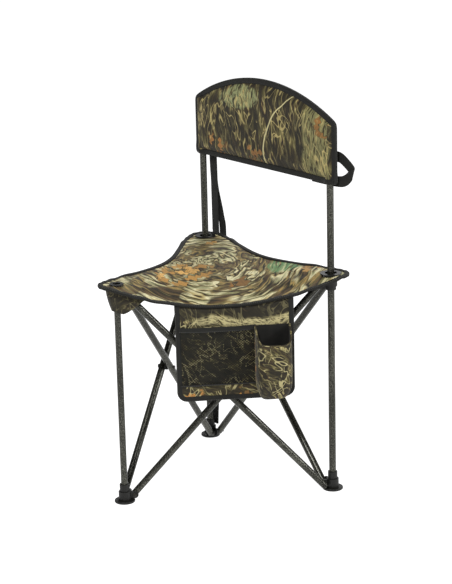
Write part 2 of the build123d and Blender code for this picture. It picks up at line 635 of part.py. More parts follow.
def tie_loop():
    """Webbing loop behind the left end of the backrest: a low arm, a tip beyond the edge and a high arm."""
    back = REAR_Y + BACK_THICKNESS / 2 + STRAP_GAP + STRAP_T / 2
    tip_x = BACK_HALF_WIDTH + LOOP_REACH
    pitch = STRAP_T + STRAP_GAP
    low_z, tip_z, high_z = BACK_BOTTOM_Z + LOOP_LOW, BACK_BOTTOM_Z + LOOP_TIP, BACK_BOTTOM_Z + LOOP_HIGH
    low = upright_strap([((HALF - LOOP_LAP, back, low_z), LOOP_W), ((BACK_HALF_WIDTH, back, low_z), LOOP_W),
                         ((tip_x, back + LOOP_BACK, tip_z), LOOP_TIP_W)])
    high = upright_strap([((HALF, back + pitch, high_z), LOOP_W),
                          ((BACK_HALF_WIDTH, back + pitch, high_z), LOOP_W),
                          ((tip_x, back + LOOP_BACK + pitch, tip_z), LOOP_TIP_W)])
    bridge = Box(STRAP_T, pitch + STRAP_T, LOOP_TIP_W)
    return low + high + Pos(tip_x - STRAP_T / 2, back + LOOP_BACK + pitch / 2, tip_z) * bridge


# ---- tubes ---------------------------------------------------------------------------------------------
def upright_tube(corner, outer_d, bottom, top):
    """Steel tube on a leg axis."""
    return at(corner, ring(outer_d, outer_d - 2 * TUBE_WALL, bottom, top))


def post_cap(corner):
    """Plastic cap on the upper end of a rear post, with a plug inside the tube."""
    plug_d = POST_D - 2 * TUBE_WALL - 2 * FIT
    return at(corner, disc(POST_D, POST_TOP_Z, POST_TOP_Z + POST_CAP_H)
              + disc(plug_d, POST_TOP_Z - POST_PLUG_H, POST_TOP_Z))


# ---- build ---------------------------------------------------------------------------------------------
save("front_foot", foot("front", LEG_D))
save("front_leg_tube", upright_tube("front", LEG_D, FOOT_FLOOR, LEG_TOP_Z))
for name in ("left", "right"):
    save(f"{name}_foot", foot(name, POST_D))
    save(f"{name}_post", upright_tube(name, POST_D, FOOT_FLOOR, POST_TOP_Z))
    save(f"{name}_post_cap", post_cap(name))
    save(f"{name}_slider_hub", slider(name))
    save(f"{name}_seat_eyelet", eyelet(name, REAR_EYELET_HOLE_D, EYELET_RIM))
save("front_hub", front_slider())
save("front_inner_tube", upright_tube("front", INNER_TUBE_D, HUB_TOP_Z - INNER_TUBE_LENGTH, HUB_TOP_Z))
save("front_seat_eyelet", eyelet("front", FRONT_EYELET_HOLE_D, FRONT_EYELET_RIM))
save("front_corner_boot", boot())

for name in CORNERS:
    hole = FRONT_EYELET_HOLE_D if name == "front" else REAR_EYELET_HOLE_D
    save(f"{name}_foot_rivets", rivets(name, FOOT_PIVOT_Z, True))
    save(f"{name}_hub_rivets", rivets(name, HUB_PIVOT_Z, False))
    save(f"seat_{name}_panel", seat_panel(name))
    save(f"seat_{name}_corner", seat_corner(name, hole + 2 * EYELET_BARREL + 2 * EYELET_GAP))

for name, (a, b) in SIDES.items():
    for plane in ("inner", "outer"):
        save(f"{name}_{plane}_brace", brace(a, b, plane == "inner"))
        save(f"{name}_{plane}_brace_plugs", plugs(a, b, plane == "inner"))
    save(f"{name}_cross_rivet", cross_rivet(a, b))
    save(f"{name}_cross_spacer", cross_spacer(a, b))

save("storage_panel", storage_panel())
save("mesh_pocket", pouch(MESH_START, MESH_END, MESH_TOP_Z, MESH_H, MESH_DEPTH, MESH_WALL, MESH_CORNER_R))
save("cup_pouch", pouch(CUP_START, CUP_END, CUP_TOP_Z, CUP_H, CUP_DEPTH, CUP_WALL, CUP_CORNER_R))
save("backrest_left", back_half(1))
save("backrest_right", back_half(-1))
outer_strap, inner_strap = shoulder_straps()
save("shoulder_strap_outer", outer_strap)
save("shoulder_strap_inner", inner_strap)
save("tie_loop", tie_loop())
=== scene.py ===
"""Looks of a folding three-legged field stool with a backrest: printed cloth, webbing, net and
powder-coated tube.

Metres, +Z up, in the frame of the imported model: the origin is on the ground midway between the legs, the
sitter faces -Y, the front leg stands on -Y and the two rear posts, which carry the backrest, towards +Y.
Left is +X. Cloth pieces carry a UV map named cloth, in metres on the flat cloth, so their print stays put
when they fold.
"""
import math

import bmesh
import bpy
import numpy as np
from mathutils import Matrix, Vector


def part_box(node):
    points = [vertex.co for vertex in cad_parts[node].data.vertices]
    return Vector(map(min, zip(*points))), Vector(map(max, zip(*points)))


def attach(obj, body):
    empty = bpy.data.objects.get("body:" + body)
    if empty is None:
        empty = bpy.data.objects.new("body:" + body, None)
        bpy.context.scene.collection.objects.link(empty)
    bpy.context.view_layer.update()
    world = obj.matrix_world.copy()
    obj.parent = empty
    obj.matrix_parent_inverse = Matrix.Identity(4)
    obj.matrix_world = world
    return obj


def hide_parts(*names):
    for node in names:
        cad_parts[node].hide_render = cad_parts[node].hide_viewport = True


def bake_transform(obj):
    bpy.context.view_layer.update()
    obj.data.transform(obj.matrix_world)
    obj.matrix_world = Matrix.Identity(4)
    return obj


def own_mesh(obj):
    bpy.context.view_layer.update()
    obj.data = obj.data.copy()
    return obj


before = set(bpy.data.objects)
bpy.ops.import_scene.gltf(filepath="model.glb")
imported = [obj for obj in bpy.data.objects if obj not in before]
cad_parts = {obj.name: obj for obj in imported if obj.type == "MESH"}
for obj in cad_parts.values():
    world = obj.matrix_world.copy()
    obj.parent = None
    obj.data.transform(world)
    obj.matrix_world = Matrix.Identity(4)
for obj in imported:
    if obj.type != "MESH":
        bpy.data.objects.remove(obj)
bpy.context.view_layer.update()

# ---- places read from the frame ------------------------------------------------------------------------


def centre_of(node):
    """Middle of a node's box, seen from above."""
    low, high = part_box(node)
    return np.array((low + high) / 2)[:2]


CORNERS = {"front": centre_of("front_leg_tube"), "left": centre_of("left_post"),
           "right": centre_of("right_post")}
CENTRE = sum(CORNERS.values()) / 3
SIDE = float(np.linalg.norm(CORNERS["left"] - CORNERS["right"]))
RADIUS = SIDE / math.sqrt(3)
REAR_Y = float(CORNERS["left"][1])
SEAT_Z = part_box("seat_left_corner")[1].z
BACK_LOW, BACK_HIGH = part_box("backrest_left")
BACK_W = BACK_HIGH.x
UP = np.array((0.0, 0.0, 1.0))

# ---- the camera ----------------------------------------------------------------------------------------
CAMERA_AZIMUTH, CAMERA_ELEVATION, CAMERA_ROLL = 53.96, 15.24, -1.391
CAMERA_DISTANCE = 4.0991
CAMERA_SIDE, CAMERA_HEIGHT = 0.0167, 0.4168      # the point it looks at: to its right of the Z axis, and up
CAMERA_LENS = 151.2                              # millimetres, for a 36 mm wide sensor


def make_camera():
    """Camera on a sphere about the point it looks at, turned about its own line of sight by the roll."""
    azimuth, elevation, roll = (math.radians(a) for a in (CAMERA_AZIMUTH, CAMERA_ELEVATION, CAMERA_ROLL))
    back = Vector((math.sin(azimuth) * math.cos(elevation), -math.cos(azimuth) * math.cos(elevation),
                   math.sin(elevation)))
    right = Vector((math.cos(azimuth), math.sin(azimuth), 0))
    above = back.cross(right)
    level, upright = (right * math.cos(roll) + above * math.sin(roll),
                      above * math.cos(roll) - right * math.sin(roll))
    target = right * CAMERA_SIDE + Vector((0, 0, CAMERA_HEIGHT))
    data = bpy.data.cameras.new("camera")
    data.sensor_fit = "HORIZONTAL"
    data.sensor_width = 36.0
    data.lens = CAMERA_LENS
    data.clip_end = 30.0
    camera = bpy.data.objects.new("camera", data)
    bpy.context.scene.collection.objects.link(camera)
    turn = Matrix((level, upright, back)).transposed().to_4x4()
    camera.matrix_world = Matrix.Translation(target + back * CAMERA_DISTANCE) @ turn
    bpy.context.scene.camera = camera


# ---- shader maths --------------------------------------------------------------------------------------
class Wire:
    """A socket in a finish's node tree. Python's operators on it add the Math nodes."""

    def __init__(self, paint, socket):
        self.paint = paint
        self.socket = socket

    def math(self, operation, *others):
        return self.paint.node("ShaderNodeMath", {"operation": operation}, dict(enumerate((self, *others))))

    def __add__(self, other):
        return self.math("ADD", other)

    def __mul__(self, other):
        return self.math("MULTIPLY", other)

    def __sub__(self, other):
        return self.math("SUBTRACT", other)

    def __rsub__(self, other):
        return self * -1 + other

    def __truediv__(self, other):
        return self.math("DIVIDE", other)

    def __pow__(self, other):
        return self.math("POWER", other)

    def __abs__(self):
        return self.math("ABSOLUTE")

    __radd__ = __add__
    __rmul__ = __mul__

    def rise(self, low, high):
        """0 at low, 1 at high and a smooth step between; low may be above high."""
        return self.paint.node("ShaderNodeMapRange", {"interpolation_type": "SMOOTHSTEP"},
                               {"Value": self, "From Min": low, "From Max": high})


class Paint:
    """One finish: a material, its node tree and its shader."""

    def __init__(self, name, constants):
        self.material = bpy.data.materials.new(name)
        self.material.use_nodes = True
        self.tree = self.material.node_tree
        self.shader = self.tree.nodes["Principled BSDF"]
        for socket, value in constants.items():
            self.shader.inputs[socket].default_value = value

    def node(self, kind, settings, sockets, out=0):
        """Any node: its settings first (stops are a ramp's colours), then its sockets' values or wires."""
        made = self.tree.nodes.new(kind)
        for key, value in settings.items():
            if key == "stops":
                elements = made.color_ramp.elements
                while len(elements) < len(value):
                    elements.new(1.0)
                for element, (place, colour) in zip(elements, value):
                    element.position = place
                    element.color = colour
            else:
                setattr(made, key, value)
        for key, value in sockets.items():
            if isinstance(value, Wire):
                self.tree.links.new(value.socket, made.inputs[key])
            else:
                made.inputs[key].default_value = value
        return Wire(self, made.outputs[out])

    def feed(self, socket, wire):
        self.tree.links.new(wire.socket, self.shader.inputs[socket])

    def cloth(self):
        """Place on the flat cloth, in metres."""
        return self.node("ShaderNodeUVMap", {"uv_map": "cloth"}, {})

    def place(self):
        """Place in the object's own frame, in metres."""
        return self.node("ShaderNodeTexCoord", {}, {}, "Object")

    def split(self, vector):
        made = self.node("ShaderNodeSeparateXYZ", {}, {0: vector})
        return [Wire(self, socket) for socket in made.socket.node.outputs]

    def turned(self, vector, degrees=0.0, wide=1.0, long=1.0, shift=(0, 0, 0)):
        """The vector turned about Z and measured in units of wide by long, so a texture on it is drawn
        out."""
        return self.node("ShaderNodeMapping", {"vector_type": "TEXTURE"},
                         {"Vector": vector, "Location": shift, "Rotation": (0, 0, math.radians(degrees)),
                          "Scale": (wide, long, 1)})

    def rings(self, vector, x, y, wide, around):
        """Place about a spot as (distance over wide, direction times around): a texture on it bends round
        it."""
        out = self.node("ShaderNodeVectorMath", {"operation": "SUBTRACT"}, {0: vector, 1: (x, y, 0)})
        far = self.node("ShaderNodeVectorMath", {"operation": "LENGTH"}, {0: out}, 1)
        facing = self.node("ShaderNodeVectorMath", {"operation": "NORMALIZE"}, {0: out})
        east, north, _ = self.split(facing)
        return self.node("ShaderNodeCombineXYZ", {}, {0: far / wide, 1: east * around, 2: north * around})

    def noise(self, vector, scale=1.0, detail=3.0, roughness=0.5, distortion=0.0):
        return self.node("ShaderNodeTexNoise", {}, {"Vector": vector, "Scale": scale, "Detail": detail,
                                                    "Roughness": roughness, "Distortion": distortion})

    def swayed(self, vector, scale, reach):
        """The vector moved about by a soft noise, up to about half of reach each way."""
        cloud = self.node("ShaderNodeTexNoise", {}, {"Vector": vector, "Scale": scale, "Detail": 2.0}, 1)
        middle = self.node("ShaderNodeVectorMath", {"operation": "SUBTRACT"}, {0: cloud, 1: (0.5, 0.5, 0.5)})
        return self.node("ShaderNodeVectorMath", {"operation": "MULTIPLY_ADD"},
                         {0: middle, 1: (reach, reach, 0), 2: vector})

    def ramp(self, value, stops):
        return self.node("ShaderNodeValToRGB", {"stops": stops}, {0: value})

    def mix(self, share, one, other, blend="MIX"):
        return self.node("ShaderNodeMix", {"data_type": "RGBA", "blend_type": blend},
                         {0: share, 6: one, 7: other}, 2)

    def bump(self, height, distance, strength=1.0):
        wire = self.node("ShaderNodeBump", {}, {"Height": height, "Distance": distance, "Strength": strength})
        self.feed("Normal", wire)


def tint(red, green, blue):
    """Linear colour of a shade given in 0 to 255."""
    shares = [c / 255 for c in (red, green, blue)]
    return (*[c / 12.92 if c <= 0.04045 else ((c + 0.055) / 1.055) ** 2.4 for c in shares], 1.0)


INK = tint(26, 24, 17)
SOIL = tint(52, 43, 30)
BROWN = tint(92, 72, 46)
OLIVE = tint(104, 98, 64)
STRAW = tint(172, 158, 112)
SAGE = tint(150, 150, 118)
CREAM = tint(216, 210, 182)
TAN = tint(178, 142, 88)
ORANGE = tint(200, 154, 84)
RUST = tint(148, 112, 66)
BEND = (-0.07, 0.01)         # spot in the seat's plan that its bark bends round


# ---- finishes of the hard pieces -----------------------------------------------------------------------
def powder_coat():
    """Olive-grey powder coat: a fine light and dark speckle with a satin sheen, and a slightly pebbled
    skin."""
    paint = Paint("powder_coat", {"Metallic": 0.6, "Specular IOR Level": 0.5})
    grain = paint.noise(paint.place(), 620.0, 2.0, 0.6)
    cloud = paint.noise(paint.place(), 9.0, 2.0)
    colour = paint.ramp(grain * 0.8 + cloud * 0.2, [(0.32, tint(14, 14, 11)), (0.5, tint(36, 36, 30)),
                                                    (0.68, tint(112, 112, 102))])
    paint.feed("Base Color", colour)
    paint.feed("Roughness", grain.rise(0.3, 0.7) * 0.16 + 0.22)
    paint.bump(grain, 0.0003, 0.5)
    return paint.material


def moulded(name, shade, roughness):
    """Moulded black plastic: a fine spark-eroded grain, cloudy gloss and paler scuffs."""
    paint = Paint(name, {"Specular IOR Level": 0.3})
    grain = paint.noise(paint.place(), 900.0, 2.0, 0.6)
    scuff = paint.noise(paint.place(), 70.0, 5.0, 0.7).rise(0.6, 0.78)
    dark = tint(shade, shade, shade - 2)
    pale = tint(shade + 30, shade + 30, shade + 26)
    paint.feed("Base Color", paint.mix(scuff * 0.55, dark, pale))
    paint.feed("Roughness", scuff * 0.15 + grain * 0.15 + roughness)
    paint.bump(grain, 0.0002, 0.35)
    return paint.material


def rivet_steel():
    """Blackened steel rivet: dark and half glossy, bright where the blackening has rubbed off."""
    paint = Paint("rivet_steel", {"Metallic": 0.85})
    worn = paint.noise(paint.place(), 240.0, 4.0, 0.65).rise(0.55, 0.72)
    paint.feed("Base Color", paint.mix(worn, tint(44, 43, 40), tint(126, 124, 118)))
    paint.feed("Roughness", 0.45 - worn * 0.15)
    return paint.material


# ---- finishes of webbing, net and print ----------------------------------------------------------------
def weave_height(paint, cloth, pitch):
    """Plain weave: over and under threads as the product of two sines."""
    across, along, _ = paint.split(cloth)
    turn = 2 * math.pi / pitch
    return (across * turn).math("SINE") * (along * turn).math("SINE")


def webbing(name, shade, rib, stitch_at=None):
    """Woven black tape: ribs across its length, their crests painted lighter and their grooves darker as
    painted shade, a fuzzy sheen and, if asked, a row of stitches along it.
    """
    paint = Paint(name, {"Sheen Weight": 0.03, "Specular IOR Level": 0.2})
    cloth = paint.cloth()
    along, across, _ = paint.split(cloth)
    ribs = (along * (2 * math.pi / rib)).math("SINE")
    twill = ((along + across) * (2 * math.pi / (rib * 1.6))).math("SINE")
    fuzz = paint.noise(cloth, 400.0, 3.0, 0.6)
    height = ribs * 0.4 + twill * 0.3 + fuzz
    dark, pale = tint(shade - 8, shade - 8, shade - 9), tint(shade + 16, shade + 16, shade + 13)
    # Colour follows the relief: painted shade in the grooves and a painted highlight on the crests, over a
    # random fuzz tone.
    colour = paint.ramp(height, [(0.1, dark), (0.9, pale)])
    if stitch_at is not None:
        row = abs(across - stitch_at).rise(0.0009, 0.0004)
        dash = abs((along / 0.0042).math("FRACT") - 0.5).rise(0.34, 0.28)
        thread = row * dash
        colour = paint.mix(thread, colour, tint(shade + 44, shade + 44, shade + 40))
        height = height + thread * 1.5
    paint.feed("Base Color", colour)
    paint.feed("Roughness", fuzz * 0.2 + 0.68)
    paint.bump(height, 0.0004, 0.6)
    return paint.material


def lining():
    """Dark coated back of the printed cloth."""
    paint = Paint("cloth_lining", {"Sheen Weight": 0.03, "Specular IOR Level": 0.2})
    cloth = paint.cloth()
    cloud = paint.noise(cloth, 40.0, 3.0)
    paint.feed("Base Color", paint.ramp(cloud, [(0.3, tint(14, 14, 12)), (0.7, tint(28, 27, 24))]))
    paint.feed("Roughness", cloud * 0.2 + 0.6)
    paint.bump(weave_height(paint, cloth, 0.0011), 0.0002, 0.4)
    return paint.material


def net():
    """Knitted net: two sets of slanting strands with diamond holes between them."""
    paint = Paint("black_net", {"Sheen Weight": 0.02, "Specular IOR Level": 0.2})
    across, along, _ = paint.split(paint.cloth())
    pitch = 0.0062
    one = ((across + along * 1.15) / pitch).math("FRACT")
    other = ((across - along * 1.15) / pitch).math("FRACT")
    strands = [abs(part - 0.5).rise(0.34, 0.39) for part in (one, other)]
    strand = strands[0].math("MAXIMUM", strands[1])
    paint.feed("Alpha", strand)
    cloud = paint.noise(paint.cloth(), 55.0, 2.0)
    paint.feed("Base Color", paint.ramp(cloud, [(0.3, tint(14, 14, 12)), (0.7, tint(40, 40, 33))]))
    paint.feed("Roughness", cloud * 0.2 + 0.6)
    return paint.material


def strips(paint, vector, count, stops):
    """Split bark: the fractional part of count times a drawn-out noise, so each strip runs from its dark
    side to its light one and ends in a sharp edge."""
    grain = paint.noise(vector, 1.0, 3.0, 0.45)
    return paint.ramp((grain * count).math("FRACT"), stops)


def fibres(paint, vector, low, high):
    """Fine dark fibres: where a noise drawn out even further rises above a limit."""
    return paint.noise(vector, 1.0, 4.0, 0.6).rise(low, high)


def straws(paint, cloth, degrees, gap, thin, length, keep, seed):
    """Thin stalks: the middle line of a noise drawn far out, broken up by another noise."""
    moved = paint.turned(paint.swayed(cloth, 14.0, 0.02), degrees, gap, length, (seed, seed * 0.7, 0))
    line = abs(paint.noise(moved, 1.0, 1.0) - 0.5).rise(thin, thin * 0.4)
    return line * paint.noise(paint.turned(cloth, degrees, gap * 3, length, (seed, 0, 0)), 1.0,
                              1.0).rise(keep, keep + 0.05)


def leaves(paint, cloth, size, seed, share, where):
    """Scattered lobed leaves, one to a cell: (blade, outline, vein, the cell's number).
    Along a leaf's own axis t from -1 to 1 its half width is a share of sqrt(1 - t^2), cut in by a cosine into
    lobes; the outline is a band round it; the veins are its axis and slanting lines beside it."""
    spot = paint.node("ShaderNodeVectorMath", {"operation": "ADD"}, {0: cloth, 1: (seed, seed * 1.7, 0)})
    settings = {"feature": "F1", "voronoi_dimensions": "2D"}
    sockets = {"Vector": paint.swayed(spot, 60.0, 0.006), "Scale": 1 / size, "Randomness": 0.75}
    cell = paint.node("ShaderNodeTexVoronoi", settings, sockets, "Position")
    number = Wire(paint, cell.socket.node.outputs["Color"])
    local = paint.node("ShaderNodeVectorMath", {"operation": "SUBTRACT"},
                       {0: Wire(paint, cell.socket.node.inputs["Vector"].links[0].from_socket), 1: cell})
    x, y, _ = paint.split(local)
    first, second, third = paint.split(number)
    angle = first * (2 * math.pi)
    cosine, sine = angle.math("COSINE"), angle.math("SINE")
    reach = size * 0.52
    t = (x * cosine + y * sine) / reach
    off = abs(y * cosine - x * sine) / reach
    inside = (1 - t * t).math("MAXIMUM", 0.0) ** 0.5
    lobed = inside * ((t * 7.0 + first * 3.0).math("COSINE") * 0.24 + 0.46)
    here = second.rise(share + 0.01, share) * where
    blade = (lobed - off).rise(0.0, 0.03) * here
    outline = (lobed - off).rise(-0.09, -0.03) * (1 - blade) * here
    veins = abs(((t * 1.0 + off * 0.9) * 3.2).math("FRACT") - 0.5).rise(0.09, 0.03)
    midrib = off.rise(0.05, 0.025)
    return blade, outline, veins.math("MAXIMUM", midrib) * blade, third


def patch(paint, cloth, x, y, wide, long, degrees=0.0):
    """Soft ragged blot: 1 near a place, fading beyond an ellipse, its rim broken by a noise."""
    local = paint.turned(cloth, degrees, wide, long, (x, y, 0))
    far = paint.node("ShaderNodeVectorMath", {"operation": "LENGTH"}, {0: local}, 1)
    ragged = far + (paint.noise(cloth, 55.0, 4.0, 0.65) - 0.5) * 0.9
    return ragged.rise(1.08, 0.86)


def finish_cloth(paint, cloth, colour):
    """Woven polyester: the print, a little yellowed, on a plain weave that is uneven in tone and gloss."""
    dust = paint.noise(cloth, 260.0, 2.0, 0.6)
    yellowed = paint.mix(1.0, colour, (1.0, 0.98, 0.82, 1.0), "MULTIPLY")
    paint.feed("Base Color", paint.mix(dust.rise(0.35, 0.75) * 0.22, yellowed, SOIL))
    paint.feed("Roughness", dust * 0.2 + 0.66)
    paint.bump(weave_height(paint, cloth, 0.0012) * 0.4 + dust, 0.0003, 0.5)
    return paint.material


def laid(paint, colour, leaf, shade, dark, outline_ink=INK):
    """A layer of leaves over a colour: outline first, then the blade in two shades, then its veins."""
    blade, outline, vein, number = leaf
    colour = paint.mix(outline * 0.85, colour, outline_ink)
    body = paint.mix(number, shade, dark)
    colour = paint.mix(blade, colour, body)
    return paint.mix(vein * 0.6, colour, dark)


def spotted(paint, cloth, colour, places, size, seed, shade, dark, share=1.0):
    """Leaves over a colour, only inside blots given by place, half sizes and turn."""
    where = 0.0
    for place in places:
        blot = patch(paint, cloth, *place)
        where = blot if isinstance(where, float) else where.math("MAXIMUM", blot)
    return laid(paint, colour, leaves(paint, cloth, size, seed, share, where), shade, dark)


def seat_print():
    """Seat print: bark in strips that bend round one spot, with a drift of orange leaves, a tuft of lichen
    and brown leaves towards the left leg."""
    paint = Paint("seat_camouflage", {"Sheen Weight": 0.05, "Specular IOR Level": 0.25})
    cloth = paint.cloth()
    moved = paint.swayed(paint.swayed(cloth, 5.0, 0.07), 22.0, 0.018)
    pale = [(0.0, INK), (0.1, SOIL), (0.2, OLIVE), (0.4, SAGE), (0.66, CREAM), (0.84, STRAW), (0.93, BROWN),
            (1.0, INK)]
    warm = [(0.0, INK), (0.16, SOIL), (0.36, BROWN), (0.6, OLIVE), (0.78, tint(158, 132, 84)), (0.9, OLIVE),
            (1.0, INK)]
    ring = paint.rings(moved, BEND[0], BEND[1], 0.026, 1.5)
    colour = strips(paint, ring, 6.0, pale)
    brown = strips(paint, paint.rings(moved, BEND[0], BEND[1], 0.022, 1.6), 5.0, warm)
    cloud = paint.noise(paint.turned(moved, 20.0, 0.05, 0.09, (0.4, 0.1, 0)), 1.0, 2.0).rise(0.47, 0.56)
    colour = paint.mix(cloud, colour, brown)
    fine = paint.rings(moved, BEND[0], BEND[1], 0.0035, 5.0)
    colour = paint.mix(fibres(paint, fine, 0.54, 0.62) * 0.72, colour, INK)
    moss = patch(paint, cloth, 0.081, 0.121, 0.042, 0.036, 20.0) * fibres(paint, fine, 0.4, 0.52)
    colour = paint.mix(moss * 0.75, colour, tint(92, 138, 96))
    colour = spotted(paint, cloth, colour, [(0.033, -0.009, 0.022, 0.030, 30.0)], 0.05, 3.3, CREAM, SAGE)
    colour = spotted(paint, cloth, colour, [(0.007, 0.019, 0.022, 0.030, 30.0),
                                            (0.062, 0.018, 0.020, 0.036, 10.0)],
                     0.055, 5.1, tint(150, 104, 48), BROWN)
    colour = spotted(paint, cloth, colour, [(0.142, 0.131, 0.040, 0.030, 20.0),
                                            (-0.17, 0.112, 0.030, 0.020, 0.0)],
                     0.034, 6.4, TAN, RUST)
    colour = spotted(paint, cloth, colour, [(-0.040, -0.060, 0.046, 0.078, 15.0)], 0.042, 1.2, ORANGE, RUST)
    colour = spotted(paint, cloth, colour, [(-0.040, -0.060, 0.044, 0.074, 15.0)], 0.031, 8.7,
                     tint(222, 176, 108), TAN, 0.5)
    return finish_cloth(paint, cloth, colour)


def backrest_print():
    """Backrest print: upright bark and dry grass, a pale patch of lichen, a pale twig bent as a cube and
    rusty leaves at both ends, with a painted highlight down the cloth over the left post and a painted
    shade line in the valley beside it."""
    paint = Paint("backrest_camouflage", {"Sheen Weight": 0.05, "Specular IOR Level": 0.25})
    cloth = paint.cloth()
    moved = paint.swayed(paint.swayed(cloth, 7.0, 0.04), 30.0, 0.010)
    stops = [(0.0, INK), (0.3, SOIL), (0.52, tint(70, 62, 38)), (0.72, OLIVE), (0.86, tint(164, 152, 108)),
             (0.93, BROWN),
             (1.0, INK)]
    colour = strips(paint, paint.turned(moved, 4.0, 0.026, 0.10), 5.0, stops)
    fine = fibres(paint, paint.turned(moved, 2.0, 0.0036, 0.03), 0.46, 0.58)
    colour = paint.mix(fine * 0.8, colour, INK)
    gloom = paint.noise(paint.turned(moved, 0.0, 0.035, 0.08, (0.7, 0.2, 0)), 1.0, 2.0).rise(0.44, 0.6)
    colour = paint.mix(gloom * 0.75, colour, INK)
    x, z, _ = paint.split(paint.swayed(cloth, 18.0, 0.014))
    # Painted highlight: a pale band down the cloth where it wraps the left post, broken by fibres.
    sleeve_highlight = abs(x - 0.19).rise(0.048, 0.034) * fibres(paint, paint.turned(moved, 0.0, 0.004, 0.02), 0.58,
                                                      0.45)
    colour = paint.mix(sleeve_highlight * 0.6, colour, tint(138, 136, 98))
    # Painted shade: a dark line down the valley beside the cloth's bulge over the left post.
    colour = paint.mix(abs(x - 0.138).rise(0.012, 0.004) * 0.85, colour, INK)
    moss = patch(paint, cloth, -0.072, 0.148, 0.070, 0.026, 8.0) * fibres(paint,
                                                                          paint.turned(moved, 0.0, 0.005,
                                                                                       0.016), 0.6, 0.42)
    colour = paint.mix(moss * 0.7, colour, tint(150, 156, 118))
    places = [(-0.148, 0.034, 0.036, 0.026, 0.0), (0.211, 0.119, 0.026, 0.024, 0.0),
              (-0.02, 0.03, 0.03, 0.02, 0.0)]
    colour = spotted(paint, cloth, colour, places, 0.030, 4.2, tint(150, 106, 60), tint(90, 66, 38))
    for degrees, seed in ((8.0, 0.3), (-24.0, 1.9), (38.0, 4.1)):
        colour = paint.mix(straws(paint, cloth, degrees, 0.026, 0.014, 0.09, 0.52, seed) * 0.7, colour, STRAW)
    bent = abs(x - z * z * z * 20.4 - 0.013).rise(0.0030, 0.0014)
    colour = paint.mix(bent * 0.85, colour, tint(196, 188, 150))
    fallen = abs(x + z * 0.33 + 0.084).rise(0.0034, 0.0016) * z.rise(0.02, 0.03)
    colour = paint.mix(fallen * 0.9, colour, INK)
    return finish_cloth(paint, cloth, colour)


def pocket_print():
    """Pocket print: close dark bark with thin pale stalks, a pale drift above the net, rusty leaves low
    down and a painted shadow along its top, where the seat's edge overhangs it."""
    paint = Paint("pocket_camouflage", {"Sheen Weight": 0.05, "Specular IOR Level": 0.25})
    cloth = paint.cloth()
    moved = paint.swayed(paint.swayed(cloth, 9.0, 0.04), 34.0, 0.012)
    stops = [(0.0, INK), (0.34, SOIL), (0.58, tint(74, 66, 42)), (0.76, OLIVE), (0.88, tint(164, 154, 116)),
             (0.94, BROWN),
             (1.0, INK)]
    colour = strips(paint, paint.turned(moved, 60.0, 0.020, 0.05), 5.0, stops)
    fine = fibres(paint, paint.turned(moved, 62.0, 0.003, 0.016), 0.46, 0.58)
    colour = paint.mix(fine * 0.8, colour, INK)
    gloom = paint.noise(paint.turned(moved, 30.0, 0.03, 0.05, (0.7, 0.2, 0)), 1.0, 2.0).rise(0.42, 0.56)
    colour = paint.mix(gloom * 0.7, colour, INK)
    along, height, _ = paint.split(moved)
    drift = abs(height - 0.396).rise(0.012, 0.005) * along.rise(0.15, 0.19) * fibres(paint,
                                                                                     paint.turned(moved,
                                                                                                  80.0,
                                                                                                  0.003,
                                                                                                  0.012),
                                                                                                  0.6, 0.46)
    colour = paint.mix(drift * 0.85, colour, tint(176, 168, 132))
    places = [(0.145, 0.242, 0.030, 0.012, 0.0), (0.262, 0.240, 0.026, 0.012, 0.0),
              (0.005, 0.30, 0.016, 0.05, 0.0)]
    colour = spotted(paint, cloth, colour, places, 0.024, 4.2, tint(164, 118, 66), tint(92, 70, 42))
    for degrees, seed in ((20.0, 0.7), (-34.0, 2.3), (64.0, 5.2)):
        stalk = straws(paint, cloth, degrees, 0.022, 0.014, 0.06, 0.5, seed)
        colour = paint.mix(stalk * 0.8, colour, tint(168, 160, 124))
    # Painted shadow: ink along the panel's top, standing in for the shade under the seat's edge.
    colour = paint.mix(height.rise(0.402, 0.412) * 0.75, colour, INK)
    return finish_cloth(paint, cloth, colour)


# ---- meshes from grids ---------------------------------------------------------------------------------
def piece(name, patches, finishes, sharp=40.0):
    """One mesh of several grids, each (points, cloth, number of its finish), joined where their edges meet.
    A grid's quads are its neighbouring rows and columns; its cloth is the same grid flat, in metres."""
    points, quads, flats, kinds, start = [], [], [], [], 0
    for grid, cloth, kind in patches:
        rows, columns = grid.shape[:2]
        number = np.arange(rows * columns).reshape(rows, columns)
        quad = np.stack([number[:-1, :-1], number[1:, :-1], number[1:, 1:], number[:-1, 1:]], -1).reshape(-1,
                                                                                                          4)
        points.append(grid.reshape(-1, 3))
        quads.append(quad + start)
        flats.append(cloth.reshape(-1, 2)[quad].reshape(-1, 2))
        kinds.append(np.full(len(quad), kind))
        start += rows * columns
    mesh = bpy.data.meshes.new(name)
    mesh.from_pydata(np.concatenate(points).tolist(), [], np.concatenate(quads).tolist())
    mesh.uv_layers.new(name="cloth").data.foreach_set("uv", np.concatenate(flats).astype(np.float32).ravel())
    mesh.polygons.foreach_set("material_index", np.concatenate(kinds).astype(np.int32))
    for finish in finishes:
        mesh.materials.append(finish)
    close_up(mesh)
    mesh.set_sharp_from_angle(angle=math.radians(sharp))
    made = bpy.data.objects.new(name, mesh)
    bpy.context.scene.collection.objects.link(made)
    return made


def close_up(mesh):
    """Merges doubled points, drops faces that have shrunk to nothing and turns the faces outwards."""
    work = bmesh.new()
    work.from_mesh(mesh)
    bmesh.ops.remove_doubles(work, verts=work.verts, dist=2e-6)
    bmesh.ops.dissolve_degenerate(work, edges=work.edges, dist=1e-7)
    bmesh.ops.recalc_face_normals(work, faces=work.faces)
    for face in work.faces:
        face.smooth = True
    work.to_mesh(mesh)
    work.free()


